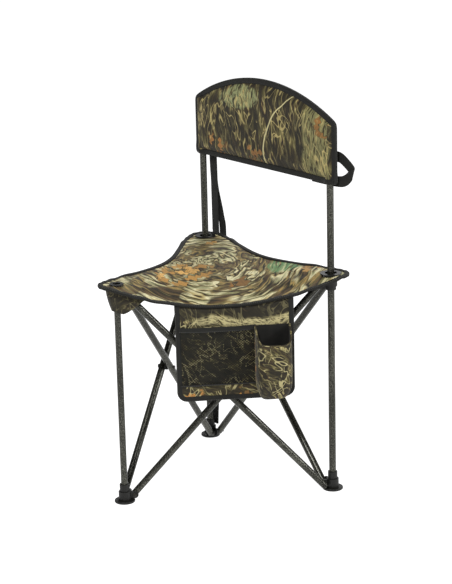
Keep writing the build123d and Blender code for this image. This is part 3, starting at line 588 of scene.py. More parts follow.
def thick(top, bottom, cloth, face=0, back=1, ring=False):
    """Patches of a sheet: its face, its back and the rims between them. A ring has no rims at its columns'
    ends."""
    patches = [(top, cloth, face), (bottom, cloth, back)]
    rims = [np.s_[0], np.s_[-1]] + ([] if ring else [np.s_[:, 0], np.s_[:, -1]])
    for rim in rims:
        patches.append((np.stack([top[rim], bottom[rim]]), np.stack([cloth[rim], cloth[rim]]), back))
    return patches


def lengths(line):
    """Distance along a line of points at each of them."""
    return np.concatenate([[0.0], np.cumsum(np.linalg.norm(np.diff(line, axis=0), axis=1))])


def section(half_width, half_height, squareness=0.6, count=16):
    """Closed superellipse: signed powers of the cosine and the sine."""
    angle = np.linspace(0, 2 * math.pi, count + 1)
    c, s = np.cos(angle), np.sin(angle)
    return np.stack([half_width * np.sign(c) * abs(c) ** squareness,
                     half_height * np.sign(s) * abs(s) ** squareness], -1)


def band(path, across, up, profile, closed=False, kind=0, swell=None):
    """Patches of a tape: a closed profile carried along a path on two directions, its ends filled by fans.
    swell is how much the profile's second coordinate grows at each point of the path."""
    grow = np.ones(len(path)) if swell is None else swell
    grid = path[:, None] + across[:, None] * profile[None, :, :1] + up[:, None] * profile[None, :,
                                                                                          1:] * grow[:, None,
                                                                                                     None]
    along, round_ = lengths(path), lengths(profile)
    cloth = np.stack(np.meshgrid(along, round_, indexing="ij"), -1)
    patches = [(grid, cloth, kind)]
    for end in () if closed else (0, -1):
        middle = np.broadcast_to(path[end], grid[end].shape)
        patches.append((np.stack([middle, grid[end]]), np.stack([cloth[end], cloth[end]]), kind))
    return patches


def unit(vectors):
    return vectors / np.maximum(np.linalg.norm(vectors, axis=-1, keepdims=True), 1e-12)


def tangents(path, closed=False):
    """Unit direction of a path at each point, from its neighbours."""
    if closed:
        step = np.roll(path[:-1], -1, 0) - np.roll(path[:-1], 1, 0)
        return unit(np.concatenate([step, step[:1]]))
    return unit(np.gradient(path, axis=0))


def through(stations, count):
    """Smooth line through stations: a Catmull-Rom cubic between each pair."""
    stations = np.array(stations, float)
    padded = np.concatenate([2 * stations[:1] - stations[1:2], stations, 2 * stations[-1:] - stations[-2:-1]])
    place = np.linspace(0, len(stations) - 1 - 1e-9, count)
    k, t = place.astype(int), (place % 1)[:, None]
    a, b, c, d = (padded[k + i] for i in range(4))
    return 0.5 * (2 * b + (c - a) * t + (2 * a - 5 * b + 4 * c - d) * t ** 2 + (3 * b - a - 3 * c + d)
                  * t ** 3)


def ride(made, body, slot, *nodes):
    """The piece moves with a body and stands for CAD nodes, which it hides. slot is not used."""
    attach(made, body)
    if nodes:
        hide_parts(*nodes)
    return made


# ---- seat ----------------------------------------------------------------------------------------------
TIP_R = 0.038                # cloth beyond a leg axis
EDGE_INSET = 0.002           # seat edge inside the line of the legs, at mid side
SAG_FRONT, SAG_RIGHT, SAG_REAR = 0.060, 0.008, 0.005
SAG_POWER = 1.3
FOLD_INSET = 0.022           # leg axis to the line where a panel folds
CLOTH = 0.0018
EYELET_HOLE = {"front": 0.0110, "left": 0.0160, "right": 0.0160}
TAPE_W, TAPE_H = 0.0056, 0.0034
NAMES = list(CORNERS)
POINTING = np.stack([unit(CORNERS[name] - CENTRE) for name in NAMES])


def seat_height(spot):
    """Top of the seat cloth. Each corner has a share at a spot, 0 on its opposite side; an edge droops with
    the product of its two corners' shares, raised to a power that keeps the corners level. Faint tension
    folds fan out from the corners."""
    reach = np.maximum(RADIUS / 2 + (spot - CENTRE) @ POINTING.T, 0)
    share = reach / reach.sum(-1, keepdims=True)
    front, left, right = share[..., 0], share[..., 1], share[..., 2]
    height = np.full(front.shape, SEAT_Z)
    for sag, product in ((SAG_FRONT, front * left), (SAG_RIGHT, front * right), (SAG_REAR, left * right)):
        height = height - sag * (4 * product) ** SAG_POWER
    for name in NAMES:
        off = spot - CORNERS[name]
        far = np.linalg.norm(off, axis=-1)
        turn = np.arctan2(off[..., 1], off[..., 0])
        height = height + 0.0011 * np.cos(13 * turn + 0.7) * np.exp(-((far - 0.085) / 0.045) ** 2)
    return height


def lifted(spot, drop=0.0):
    """Spots of the plan on the seat's cloth."""
    return np.concatenate([spot, (seat_height(spot) - drop)[..., None]], -1)


def toward(a, b):
    return unit(CORNERS[b] - CORNERS[a])


def inward(a, b):
    along = toward(a, b)
    normal = np.array([-along[1], along[0]])
    return normal if normal @ (CENTRE - CORNERS[a]) > 0 else -normal


def edge_line(corner, other, part):
    """Plan of the seat's edge at shares of a side: it swings in by a squared sine."""
    swing = np.sin(math.pi * part) ** 2
    inset = EDGE_INSET * swing - TIP_R * (1 - swing)
    return CORNERS[corner] + part[:, None] * SIDE * toward(corner, other) + inset[:, None] * inward(corner,
                                                                                                    other)


def fold_part(corner, other):
    """Share of a side at which its edge crosses the corner's fold line."""
    part = np.linspace(0, 0.4, 4001)
    depth = (edge_line(corner, other, part) - CORNERS[corner]) @ unit(CENTRE - CORNERS[corner])
    return float(np.interp(FOLD_INSET, depth, part))


def seat_panel(corner, print_, back):
    """Kite from the fold line to mid seat: each row runs straight from one edge to the spine and on to the
    other."""
    one, two = [name for name in NAMES if name != corner]
    part = np.linspace(fold_part(corner, one), 0.5, 46)
    first, last = edge_line(corner, one, part), edge_line(corner, two, part)
    near = (first[0] + last[0]) / 2
    spine = near + (CENTRE - near) * np.linspace(0, 1, len(part))[:, None]
    over = np.linspace(-1, 1, 61)
    spot = (spine[:, None] + (first - spine)[:, None] * np.maximum(-over, 0)[None, :, None]
            + (last - spine)[:, None] * np.maximum(over, 0)[None, :, None])
    made = piece(f"seat_{corner}_cloth", thick(lifted(spot), lifted(spot, CLOTH), spot - CENTRE),
                 [print_, back])
    return made, (first, last)


def corner_outline(corner):
    """Closed plan of a seat corner: in along one edge, round the tip, out along the other and back on the
    fold."""
    one, two = [name for name in NAMES if name != corner]
    part = np.linspace(1, 0, 24)[:, None]
    first = edge_line(corner, one, part[:, 0] * fold_part(corner, one))
    last = edge_line(corner, two, part[::-1, 0] * fold_part(corner, two))
    begin, end = -inward(corner, one), -inward(corner, two)
    start = math.atan2(begin[1], begin[0])
    sweep = (math.atan2(end[1], end[0]) - start + math.pi) % (2 * math.pi) - math.pi
    angle = start + sweep * np.linspace(0, 1, 30)
    tip = CORNERS[corner] + TIP_R * np.stack([np.cos(angle), np.sin(angle)], -1)
    fold = last[-1] + (first[0] - last[-1]) * np.linspace(0, 1, 20)[:, None]
    return np.concatenate([first, tip[1:-1], last]), fold[1:-1]


def seat_corner(corner, print_, back):
    """Ring of cloth between the eyelet's hole and the corner's outline, along rays from the leg axis."""
    edge, fold = corner_outline(corner)
    rim = np.concatenate([edge, fold, edge[:1]])
    start = CORNERS[corner] + EYELET_HOLE[corner] * unit(rim - CORNERS[corner])
    share = np.linspace(0, 1, 14)[:, None, None]
    spot = start + (rim - start) * share
    made = piece(f"seat_{corner}_corner_cloth",
                 thick(lifted(spot), lifted(spot, CLOTH), spot - CENTRE, ring=True),
                 [print_, back])
    return made, edge


def seat_tape(name, lines, webbing_):
    """Folded tape round a stretch of the seat's edge, level across and centred on the cloth's thickness."""
    patches = []
    for line in lines:
        dense = through(line, 3 * len(line))
        path = lifted(dense, CLOTH / 2)
        step = np.gradient(dense, axis=0)
        out = unit(np.stack([step[:, 1], -step[:, 0]], -1))
        out = out * np.sign(((dense - CENTRE) * out).sum(-1, keepdims=True))
        path[:, :2] -= out * (TAPE_W - 0.0012)
        across = np.concatenate([out, np.zeros((len(out), 1))], -1)
        patches += band(path, across, np.broadcast_to(UP, path.shape), section(TAPE_W, TAPE_H, 0.5))
    return piece(name, patches, [webbing_])


def make_seat(print_, back, tape):
    for corner in NAMES:
        slider = f"{corner}_slider"
        ring, edge = seat_corner(corner, print_, back)
        ride(ring, slider, "seat_camouflage", f"seat_{corner}_corner")
        tip = ride(seat_tape(f"seat_{corner}_corner_binding", [edge], tape), slider, "black_webbing")
        panel, sides = seat_panel(corner, print_, back)
        binding = seat_tape(f"seat_{corner}_binding", sides, tape)
        pointing = unit(CORNERS[corner] - CENTRE)
        for made in (panel, binding):
            ride(made, f"seat_{corner}", "seat_camouflage" if made is panel else "black_webbing")
            -pointing[1]
            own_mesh(made)
        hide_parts(f"seat_{corner}_panel")


# ---- storage on the front-left side --------------------------------------------------------------------
PANEL_START, PANEL_END, PANEL_BOTTOM = 0.119, 0.366, 0.225
PANEL_OUT, PANEL_UNDER, PANEL_KNEE = 0.0225, 0.0060, 0.388
PANEL_CORNER = 0.020
NET_START, NET_END, NET_BOTTOM, NET_TOP = 0.128, 0.2845, 0.2575, 0.386
NET_DEPTH = 0.0095
HEM = 0.0055                 # half width of the tapes
CUP_START, CUP_END, CUP_BOTTOM, CUP_BACK_TOP = 0.2832, 0.3582, 0.2290, 0.3835
CUP_DEPTH, CUP_LIP_DROP, CUP_WALL = 0.056, 0.0325, 0.0025
ALONG = np.append(toward("front", "left"), 0)
OUT = np.append(-inward("front", "left"), 0)
START = np.append(CORNERS["front"], 0)


def on_side(along, out, height):
    """Points by distance along the front-left side from the front leg, outwards from it, and height."""
    along, out, height = np.broadcast_arrays(along, out, height)
    return START + along[..., None] * ALONG + out[..., None] * OUT + height[..., None] * UP


def panel_top_out(along):
    """How far out the panel is sewn on: a little inside the seat's edge above it."""
    edge = edge_line("front", "left", np.linspace(0, 1, 400)) - CORNERS["front"]
    return np.interp(along, edge @ ALONG[:2], edge @ OUT[:2]) - PANEL_UNDER


def panel_out(along, height, top):
    """How far out the storage panel's middle hangs: just inside the seat's edge at its top, by a smooth step
    further out below its knee, with slack ripples."""
    fall = np.clip((top - height) / np.maximum(top - PANEL_KNEE, 1e-6), 0, 1)
    step = fall * fall * (3 - 2 * fall)
    slack = 0.0012 * np.sin(along * 41.0 + height * 13.0) * np.sin((top - height) * 14.0)
    first = panel_top_out(along)
    return first + (PANEL_OUT - first) * step + slack


def panel_top(along):
    """Height of the panel's sewn top: just under the seat's cloth above it."""
    plan = on_side(along, panel_top_out(along), np.zeros_like(along))[..., :2]
    return seat_height(plan) - 0.0032


def storage_panel(print_, back):
    """Panel with its lower corners rounded: rows between its sewn top and a bottom that lifts in a quarter
    circle."""
    along = np.concatenate([PANEL_START + PANEL_CORNER * (1 - np.cos(np.linspace(0, math.pi / 2, 9))),
                            np.linspace(PANEL_START, PANEL_END, 60)[6:-6],
                            PANEL_END - PANEL_CORNER * (1 - np.cos(np.linspace(math.pi / 2, 0, 9)))])
    along = np.unique(along)
    inset = np.clip(np.minimum(along - PANEL_START, PANEL_END - along), 0, PANEL_CORNER)
    bottom = PANEL_BOTTOM + PANEL_CORNER - np.sqrt(np.maximum(PANEL_CORNER ** 2
                                                              - (PANEL_CORNER - inset) ** 2, 0))
    top = panel_top(along)
    share = np.linspace(0, 1, 60)[:, None]
    height = top + (bottom - top) * share
    spread = np.broadcast_to(along, height.shape)
    out = panel_out(spread, height, top)
    cloth = np.stack([spread, height], -1)
    return piece("storage_cloth", thick(on_side(spread, out + 0.0012, height),
                                        on_side(spread, out - 0.0012, height),
                                        cloth), [print_, back])


def outline_tape(name, tape):
    """Tape down one side of the panel, round its lower corners and up the other side."""
    turn = np.linspace(0, math.pi / 2, 12)
    edge = HEM - 0.0015
    left, right, low, r = PANEL_START + edge, PANEL_END - edge, PANEL_BOTTOM + edge, PANEL_CORNER - edge
    tops = panel_top(np.array([left, right]))
    along = np.concatenate([np.full(30, left), left + r - r * np.cos(turn),
                            np.linspace(left + r, right - r, 40)[1:-1],
                            right - r + r * np.sin(turn), np.full(30, right)])
    height = np.concatenate([np.linspace(tops[0], low + r, 31)[:-1], low + r - r * np.sin(turn),
                             np.full(38, low),
                             low + r - r * np.cos(turn), np.linspace(low + r, tops[1], 31)[1:]])
    top = panel_top(along)
    path = on_side(along, panel_out(along, height, top), height)
    step = tangents(path)
    across = unit(np.cross(step, OUT))
    return piece(name, band(path, across, np.cross(across, step), section(HEM, 0.0026, 0.45)), [tape])


def net_out(along, height):
    """How far out the net hangs: sewn down at its sides and bottom, and slack towards its open top."""
    s = (along - NET_START) / (NET_END - NET_START)
    t = (height - NET_BOTTOM) / (NET_TOP - NET_BOTTOM)
    bulge = (1 - abs(2 * s - 1) ** 3) * np.sin(np.clip(t, 0, 1) * 1.9) ** 0.8
    return PANEL_OUT + 0.0028 + NET_DEPTH * 0.8 * bulge


def net_pocket(net_):
    """Thin net sheet, bellied out between its seams."""
    along = np.linspace(NET_START, NET_END, 40)[None, :]
    height = np.linspace(NET_BOTTOM, NET_TOP, 30)[:, None]
    along, height = np.broadcast_arrays(along, height)
    out = net_out(along, height)
    cloth = np.stack([along, height], -1)
    return piece("net_pocket_face", thick(on_side(along, out + 0.0003, height),
                                          on_side(along, out - 0.0003, height),
                                          cloth, 0, 0), [net_])


def net_tape(name, height, along_from, along_to, half, tape):
    """Level tape over the net at a height."""
    along = np.linspace(along_from, along_to, 40)
    path = on_side(along, net_out(along, np.full(40, height)) + 0.0008, np.full(40, height))
    step = tangents(path)
    across = unit(np.cross(step, OUT))
    return piece(name, band(path, across, np.cross(across, step), section(half, 0.0015, 0.45)), [tape])


def cup_loop(height, shrink, count=64):
    """Level section of the cup pouch at a height: flat against the panel at its back, round at its outer
    corners. It is a superellipse squared off towards the panel; near the bottom it narrows along a quarter
    circle."""
    rise = np.clip((height - CUP_BOTTOM) / 0.045, 0, 1)
    narrow = np.sqrt(np.maximum(1 - (1 - rise) ** 2, 0))
    half = ((CUP_END - CUP_START) / 2) * (0.52 + 0.48 * narrow) - shrink
    depth = CUP_DEPTH * (0.55 + 0.45 * narrow) - shrink
    turn = np.linspace(0, math.pi, count)
    power = 0.42
    c, s = np.cos(turn), np.sin(turn)
    along = -np.sign(c) * abs(c) ** power
    out = abs(s) ** power
    middle = (CUP_START + CUP_END) / 2 - 0.004 * (1 - narrow)
    return middle + half * along[None, :], out[None, :] * depth


def cup_pouch(print_, back):
    """Pouch wall between its bottom and a rim that dips towards the front, with its inner wall, floor and
    hem."""
    share = np.linspace(0, 1, 44)[:, None]
    faces = []
    for shrink in (0.0, CUP_WALL):
        bottom = CUP_BOTTOM + shrink
        _, reach = cup_loop(np.array([[CUP_BACK_TOP]]), 0.0)
        dip = CUP_LIP_DROP * np.clip(reach / CUP_DEPTH, 0, 1) ** 1.3
        height = bottom + (CUP_BACK_TOP - dip - bottom) * share
        along, out = cup_loop(height, shrink)
        slack = 0.0009 * np.sin(height * 120.0 + along * 60.0) * (1 - share)
        faces.append(on_side(along, out + PANEL_OUT + 0.0014 + slack, height))
    outer, inner = faces
    girth = lengths(outer[-1])
    cloth = np.stack(np.broadcast_arrays(girth[None, :], outer[..., 2]), -1)
    patches = [(outer, cloth, 0), (inner, cloth, 1)]
    patches.append((np.stack([outer[-1], inner[-1]]), np.stack([cloth[-1], cloth[-1]]), 0))
    for wall in faces:
        back_line = np.linspace(wall[0, 0], wall[0, -1], wall.shape[1])
        kind = 0 if wall is outer else 1
        floor = np.stack([wall[0], back_line])
        patches.append((floor, np.stack([cloth[0], cloth[0] - (0, 0.03)]), kind))
    for column in (0, -1):
        patches.append((np.stack([outer[:, column], inner[:, column]]),
                        np.stack([cloth[:, column], cloth[:, column]]), 0))
    patches.append((np.stack([np.linspace(wall[0, 0], wall[0, -1], wall.shape[1]) for wall in faces]),
                    np.stack([cloth[0], cloth[0]]), 0))
    return piece("cup_pouch_wall", patches, [print_, back]), outer[-1], inner[-1]


def cup_piping(outer, inner, cord):
    """Thin rolled hem round the pouch's rim."""
    path = (outer + inner) / 2 + UP * 0.0006
    step = tangents(path)
    across = unit(np.cross(step, UP))
    return piece("cup_pouch_hem", band(path, across, np.cross(across, step),
                                       section(0.0020, 0.0016, 1.0, 10)), [cord])


def cup_back(back):
    """Dark inner panel behind the pouch's opening."""
    along = np.linspace(CUP_START + 0.001, CUP_END - 0.001, 12)[None, :]
    height = np.linspace(CUP_BOTTOM + 0.02, CUP_BACK_TOP, 20)[:, None]
    along, height = np.broadcast_arrays(along, height)
    cloth = np.stack([along, height], -1)
    return piece("cup_pouch_back", thick(on_side(along, PANEL_OUT + 0.0030 + 0 * along, height),
                                         on_side(along, PANEL_OUT + 0.0014 + 0 * along, height), cloth, 0,
                                         0), [back])


BOOT_LOW, BOOT_REACH, BOOT_WING = 0.421, 0.0232, 0.056


def front_boot(print_, back):
    """Boot over the front hub: an upright wall round the leg's outside with a wing along each side.
    Its lower edge rises past the leg by a slope and its foot draws in round the leg by a squared fall."""
    one, two = inward("front", "left"), inward("front", "right")
    begin, end = math.atan2(-one[1], -one[0]), math.atan2(-two[1], -two[0])
    arc = np.linspace(begin, end, 36)
    turn = np.stack([np.cos(arc), np.sin(arc)], -1)
    wing = np.linspace(BOOT_WING, 0, 20)[:-1, None]
    flat = np.concatenate([wing * toward("front", "left"), np.zeros((36, 2)),
                           wing[::-1] * toward("front", "right")])
    facing = np.concatenate([np.repeat([-one], 19, 0), turn, np.repeat([-two], 19, 0)])
    away = np.linalg.norm(flat, axis=1)
    share = np.linspace(0, 1, 22)[:, None]
    plan_top = CORNERS["front"] + flat + facing * BOOT_REACH
    top = seat_height(plan_top) - 0.0045
    climb = np.maximum(away - 0.012, 0)
    low = np.minimum(BOOT_LOW + 0.004 * np.cos(np.linspace(-3, 3, len(away))) + climb * 0.62 + climb ** 2
                     * 3, top - 0.002)
    height = low + (top - low) * share
    draw = 0.0120 * (1 - share) ** 1.7 * np.clip(1 - away / 0.020, 0, 1)
    crease = 0.0007 * np.sin(np.linspace(0, 31, len(away)))[None, :] * (1 - share)
    faces = []
    for inset in (0.0, 0.0018):
        reach = BOOT_REACH - draw + crease - inset
        spot = CORNERS["front"] + flat[None] + facing[None] * reach[..., None]
        faces.append(np.concatenate([spot, height[..., None]], -1))
    girth = lengths(plan_top)
    cloth = np.stack(np.broadcast_arrays(girth[None, :], height), -1)
    return piece("front_boot_cloth", thick(faces[0], faces[1], cloth), [print_, back])


def make_storage(print_, back, tape, net_, cord):
    panel = storage_panel(print_, back)
    edging = outline_tape("storage_binding", tape)
    pocket = net_pocket(net_)
    hems = [net_tape("net_pocket_top_hem", NET_TOP - 0.0052, NET_START - 0.003, NET_END + 0.001, 0.0054,
                     tape),
            net_tape("net_pocket_low_hem", NET_BOTTOM + 0.001, NET_START - 0.002, NET_END + 0.001, 0.0016,
                     tape)]
    wall, outer, inner = cup_pouch(print_, back)
    hem, behind = cup_piping(outer, inner, cord), cup_back(back)
    boot = front_boot(print_, back)
    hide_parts("storage_panel")
    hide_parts("mesh_pocket")
    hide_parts("cup_pouch")
    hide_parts("front_corner_boot")
    for made, slot in ((panel, "pocket_camouflage"), (edging, "black_webbing"), (pocket, "black_mesh"),
                       (hems[0], "black_webbing"), (hems[1], "black_webbing"), (wall, "pocket_camouflage"),
                       (hem, "pocket_camouflage"), (behind, "black_mesh"), (boot, "pocket_camouflage")):
        ride(made, "front_slider", slot)
        if made is not boot:
            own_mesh(made)


# ---- backrest ------------------------------------------------------------------------------------------
BACK_SIDE_Z = 0.801          # where the side edge meets the top arch
PAD_EDGE, PAD_MIDDLE = 0.0022, 0.0070
PAD_INSET = 0.0045
PAD_VOXEL = 0.005
PAD_FRAMES = 20
PAD_CAP = 0.005
SLEEVE_R, SLEEVE_SPREAD = 0.0098, 0.0125
BIND_W, BIND_H = 0.0062, 0.0042


def arch(x, inset=0.0):
    """Height of the backrest's top at x: an arc through both side corners and the middle of the top."""
    rise = BACK_HIGH.z - BACK_SIDE_Z
    radius = (BACK_W ** 2 + rise ** 2) / (2 * rise)
    return BACK_HIGH.z - radius + np.sqrt((radius - inset) ** 2 - x ** 2)


def sleeve(x):
    """Bulge of the cloth over a post: a bell round each post's axis."""
    return SLEEVE_R * np.exp(-((abs(x) - SIDE / 2) / SLEEVE_SPREAD) ** 2)


def slack_pad():
    """Slab before it swells: thin at its edge and thicker inwards by an exponential."""
    x = np.linspace(-1, 1, 91) * (BACK_W - PAD_INSET)
    low, high = BACK_LOW.z + PAD_INSET, arch(x, PAD_INSET)
    share = np.linspace(0, 1, 37)[:, None]
    height = low + (high - low) * share
    x = np.broadcast_to(x, height.shape)
    near = np.minimum(np.minimum(BACK_W - PAD_INSET - abs(x), height - low), high - height)
    half = PAD_EDGE + (PAD_MIDDLE - PAD_EDGE) * (1 - np.exp(-near / 0.014))
    front = np.stack([x, REAR_Y - half, height], -1)
    rear = np.stack([x, REAR_Y + half, height], -1)
    cloth = np.stack([x, height - BACK_LOW.z], -1)
    return thick(front, rear, cloth, 0, 0)


def swollen(made):
    """Cloth simulation of a padded piece under inner pressure, with no point moving further than the cap."""
    dup = made.copy()
    dup.data = made.data.copy()
    bpy.context.scene.collection.objects.link(dup)
    remesh = dup.modifiers.new("remesh", "REMESH")
    remesh.mode = "VOXEL"
    remesh.voxel_size = PAD_VOXEL
    apply_all(dup)
    rest = coordinates(dup.data)
    cloth = dup.modifiers.new("cloth", "CLOTH").settings
    cloth.use_pressure = True
    cloth.uniform_pressure_force = 4.0
    cloth.effector_weights.gravity = 0.0
    cloth.quality = 6
    scene = bpy.context.scene
    for step in range(1, PAD_FRAMES + 1):
        scene.frame_set(step)
    apply_all(dup)
    scene.frame_set(1)
    moved = coordinates(dup.data) - rest
    far = np.linalg.norm(moved, axis=1, keepdims=True)
    moved *= np.minimum(1, PAD_CAP / np.maximum(far, 1e-9))
    dup.data.vertices.foreach_set("co", (rest + moved).astype(np.float32).ravel())
    dup.data.update()
    finer = dup.modifiers.new("finer", "SUBSURF")
    finer.levels = finer.render_levels = 1
    apply_all(dup)
    bpy.data.objects.remove(made)
    return dup


def apply_all(made):
    """Replaces a piece's mesh by what its modifiers make of it."""
    graph = bpy.context.evaluated_depsgraph_get()
    mesh = bpy.data.meshes.new_from_object(made.evaluated_get(graph))
    made.modifiers.clear()
    made.data = mesh


def coordinates(mesh):
    co = np.empty(len(mesh.vertices) * 3, np.float32)
    mesh.vertices.foreach_get("co", co)
    return co.reshape(-1, 3).astype(float)


def lay_cloth(mesh, low):
    """Lays the print on a mesh: across and up on the flat cloth, as seen from the front."""
    co = coordinates(mesh)
    corner = np.empty(len(mesh.loops), np.int32)
    mesh.loops.foreach_get("vertex_index", corner)
    layer = mesh.uv_layers.get("cloth") or mesh.uv_layers.new(name="cloth")
    flat = np.stack([co[:, 0], co[:, 2] - low], -1)[corner]
    layer.data.foreach_set("uv", flat.astype(np.float32).ravel())


def backrest_pad(print_):
    made = piece("backrest_start", slack_pad(), [print_])
    made = swollen(made)
    made.name = "backrest_pad"
    mesh = made.data
    mesh.name = "backrest_pad"
    co = coordinates(mesh)
    side = co[:, 1] - REAR_Y
    posts = sleeve(co[:, 0]) * np.clip((abs(side) - 0.001) / 0.002, 0, 1)
    quilt = 0.0006 * np.sin(co[:, 0] * 52.0 + 1.3
                            * np.sin(co[:, 2] * 31.0)) * np.clip((abs(side) - 0.003) / 0.003, 0, 1)
    co[:, 1] = REAR_Y + np.sign(side) * (np.maximum(abs(side), posts) + quilt)
    mesh.vertices.foreach_set("co", co.astype(np.float32).ravel())
    mesh.update()
    lay_cloth(mesh, BACK_LOW.z)
    mesh.polygons.foreach_set("use_smooth", np.ones(len(mesh.polygons), bool))
    return made


def back_outline(count=420):
    """Closed outline of the backrest at even steps, its corners rounded by a running mean."""
    x = np.linspace(BACK_W, -BACK_W, 200)
    top = np.stack([x, arch(x)], -1)
    corners = np.array([[-BACK_W, BACK_LOW.z], [BACK_W, BACK_LOW.z]])
    loop = np.concatenate([top, corners, top[:1]])
    place = lengths(loop)
    even = np.linspace(0, place[-1], count + 1)[:-1]
    line = np.stack([np.interp(even, place, loop[:, k]) for k in range(2)], -1)
    for _ in range(10):
        line = (np.roll(line, 1, 0) + 2 * line + np.roll(line, -1, 0)) / 4
    return np.concatenate([line, line[:1]])


def back_binding(tape):
    """Tape folded over the pad's edge, swelling where a post passes through its lower run."""
    line = back_outline()
    flat = np.stack([line[:, 0], np.full(len(line), REAR_Y), line[:, 1]], -1)
    step = tangents(flat, closed=True)
    out = np.cross(step, (0, 1.0, 0))
    middle = np.array([0, REAR_Y, (BACK_LOW.z + BACK_HIGH.z) / 2])
    out = out * np.sign(((flat - middle) * out).sum(-1, keepdims=True))
    path = flat - out * (BIND_W - 0.0004)
    lower = np.clip((0.70 - path[:, 2]) / 0.01, 0, 1)
    swell = 1 + lower * sleeve(path[:, 0]) * 0.62 / BIND_H
    across = out
    patches = band(path, across, np.broadcast_to((0, 1.0, 0), path.shape), section(BIND_W, BIND_H, 0.55, 20),
                   closed=True, swell=swell)
    return piece("backrest_binding", patches, [tape])


def make_backrest(print_, tape):
    pad, binding = backrest_pad(print_), back_binding(tape)
    for made, slot in ((pad, "backrest_camouflage"), (binding, "black_webbing")):
        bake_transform(made)
    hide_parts("backrest_left", "backrest_right")


# ---- straps --------------------------------------------------------------------------------------------
STRAP_W, STRAP_T = 0.0125, 0.0009        # half width and half thickness
STRAP_TOP, STRAP_END = 0.700, 0.028


def flat_strap(name, stations, wide, tape, count=120, half=STRAP_W, narrow=None, turned=1.0):
    """Webbing through stations: its width is near one direction, or near one for each station, and turned
    square to its run."""
    path = through(stations, count)
    step = tangents(path)
    width = through(wide, count) if isinstance(wide, list) else np.broadcast_to(np.array(wide, float),
                                                                                path.shape)
    across = unit(width - step * (width * step).sum(-1, keepdims=True) * turned)
    if narrow is not None:
        across = across * narrow(np.linspace(0, 1, count))[:, None]
    up = unit(np.cross(across, step))
    return piece(name, band(path, across, up, section(half, STRAP_T, 0.35, 14)), [tape])


def make_straps(tape):
    """Two carrying straps from behind the backrest, past the seat's rear corner, to the right foot."""
    post_x = CORNERS["right"][0]
    behind = REAR_Y + 0.0116
    passing = REAR_Y + TIP_R + 0.0040
    low = REAR_Y + 0.0120
    outer = [(post_x + 0.0225, behind, STRAP_TOP), (post_x + 0.0225, behind + 0.0006, BACK_LOW.z),
             (post_x + 0.008, behind + 0.012, 0.60), (post_x - 0.014, passing - 0.002, SEAT_Z + 0.016),
             (post_x - 0.018, passing + 0.001, SEAT_Z - 0.02), (post_x - 0.008, passing - 0.008, 0.30),
             (post_x, low + 0.002, 0.10), (post_x, low, STRAP_END)]
    inner = [(post_x + 0.0165, behind + 0.0024, STRAP_TOP), (post_x + 0.0165, behind + 0.0032, BACK_LOW.z),
             (post_x + 0.004, behind + 0.016, 0.60), (post_x + 0.003, passing, SEAT_Z + 0.050),
             (post_x + 0.003, passing + 0.006, SEAT_Z - 0.005), (post_x + 0.006, passing - 0.004, 0.30),
             (post_x + 0.002, low + 0.0060, 0.10), (post_x, low + 0.0022, STRAP_END)]
    for name, stations in (("outer", outer), ("inner", inner)):
        made = flat_strap(f"shoulder_strap_{name}_webbing", stations, (1, 0, 0), tape)
        ride(made, "right_leg", "black_webbing", f"shoulder_strap_{name}")


def make_tie_loop(tape):
    """Webbing loop sewn behind the backrest's left end: out along a low arm, round a tip and back on a high
    arm."""
    back = REAR_Y + 0.0116
    tip = BACK_W + 0.028
    places = [(0.152, back, 0.676), (0.20, back + 0.0002, 0.676), (BACK_W - 0.004, back + 0.0008, 0.6775),
              (BACK_W + 0.012, back + 0.0040, 0.6825), (tip - 0.006, back + 0.0072, 0.6920),
              (tip - 0.0012, back + 0.0084, 0.6965), (tip, back + 0.0100, 0.6985),
              (tip - 0.0012, back + 0.0116, 0.7005),
              (tip - 0.006, back + 0.0112, 0.7050), (BACK_W + 0.010, back + 0.0080, 0.7165),
              (BACK_W - 0.004, back + 0.0040, 0.7270), (SIDE / 2, back + 0.0026, 0.7290)]
    wides = [(0, 0, 1), (0, 0, 1), (-0.1, 0, 1), (-0.3, 0, 0.95), (-0.3, 0, 0.95), (-0.05, 0, 1),
             (0.2, 0, 0.98),
             (0.45, 0, 0.9), (0.6, 0, 0.8), (0.6, 0, 0.8), (0.35, 0, 0.94), (0, 0, 1)]
    made = flat_strap("tie_loop_webbing", places, wides, tape, 180, 0.0115,
                      lambda s: 1 - 0.36 * np.exp(-((s - 0.56) / 0.12) ** 2), 0.0)
    ride(made, "backrest_left", "black_webbing", "tie_loop")


# ---- the hard pieces' finishes -------------------------------------------------------------------------
def dress(coat, plastic, eyelet, steel):
    """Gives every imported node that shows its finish: tubes, rivets, eyelets and the other mouldings."""
    for name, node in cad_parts.items():
        if "tube" in name or name.endswith("_post") or name.endswith("_brace"):
            finish = coat
        elif "rivet" in name:
            finish = steel
        elif "eyelet" in name:
            finish = eyelet
        else:
            finish = plastic
        node.data.materials.clear()
        node.data.materials.append(finish)


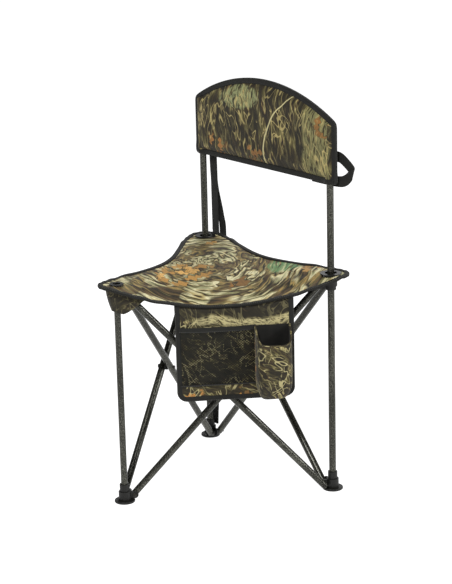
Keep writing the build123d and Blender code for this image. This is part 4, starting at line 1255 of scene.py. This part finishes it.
# ---- studio --------------------------------------------------------------------------------------------
def area_light(name, power, size, place, target, shade=(1, 1, 1)):
    data = bpy.data.lights.new(name, "AREA")
    data.energy = power
    data.size = size
    data.color = shade
    light = bpy.data.objects.new(name, data)
    bpy.context.scene.collection.objects.link(light)
    light.location = place
    light.rotation_mode = "QUATERNION"
    light.rotation_quaternion = (Vector(target) - Vector(place)).to_track_quat("-Z", "Y")


def make_studio():
    """White glowing floor as far as the camera sees, a dim even sky and three large soft lights."""
    world = bpy.data.worlds.new("studio")
    bpy.context.scene.world = world
    world.use_nodes = True
    world.node_tree.nodes["Background"].inputs[0].default_value = (1, 1, 1, 1)
    world.node_tree.nodes["Background"].inputs[1].default_value = 0.14
    mesh = bpy.data.meshes.new("floor")
    reach = 16.0
    mesh.from_pydata([(-reach, -reach, 0), (reach, -reach, 0), (reach, reach, 0), (-reach, reach, 0)], [],
                     [(0, 1, 2, 3)])
    floor = bpy.data.objects.new("floor", mesh)
    bpy.context.scene.collection.objects.link(floor)
    paper = Paint("floor_paper", {"Roughness": 0.9, "Emission Strength": 1.0, "Specular IOR Level": 0.0,
                                  "Emission Color": (1, 1, 1, 1)})
    tone = paper.noise(paper.place(), 3.0, 2.0)
    paper.feed("Base Color", paper.ramp(tone, [(0.3, (0.30, 0.30, 0.30, 1)), (0.7, (0.32, 0.32, 0.32, 1))]))
    mesh.materials.append(paper.material)
    middle = (0, 0, 0.45)
    area_light("key", 112, 0.8, (1.6, -2.0, 2.8), middle)
    area_light("side", 52, 0.4, (2.6, 1.4, 1.4), middle)
    area_light("rear", 44, 1.0, (-1.8, 1.8, 2.6), middle)
    bpy.context.scene.view_settings.view_transform = "Standard"


# ---- make it -------------------------------------------------------------------------------------------
make_camera()
make_studio()
dress(powder_coat(), moulded("black_plastic", 18, 0.42), moulded("eyelet_plastic", 12, 0.35), rivet_steel())
cloth_back = lining()
edge_tape = webbing("binding_tape", 17, 0.0022, 0.0026)
strap_tape = webbing("strap_webbing", 17, 0.0020)
camouflage = pocket_print()
make_seat(seat_print(), cloth_back, edge_tape)
make_storage(camouflage, cloth_back, edge_tape, net(), camouflage)
make_backrest(backrest_print(), edge_tape)
make_straps(strap_tape)
make_tie_loop(strap_tape)
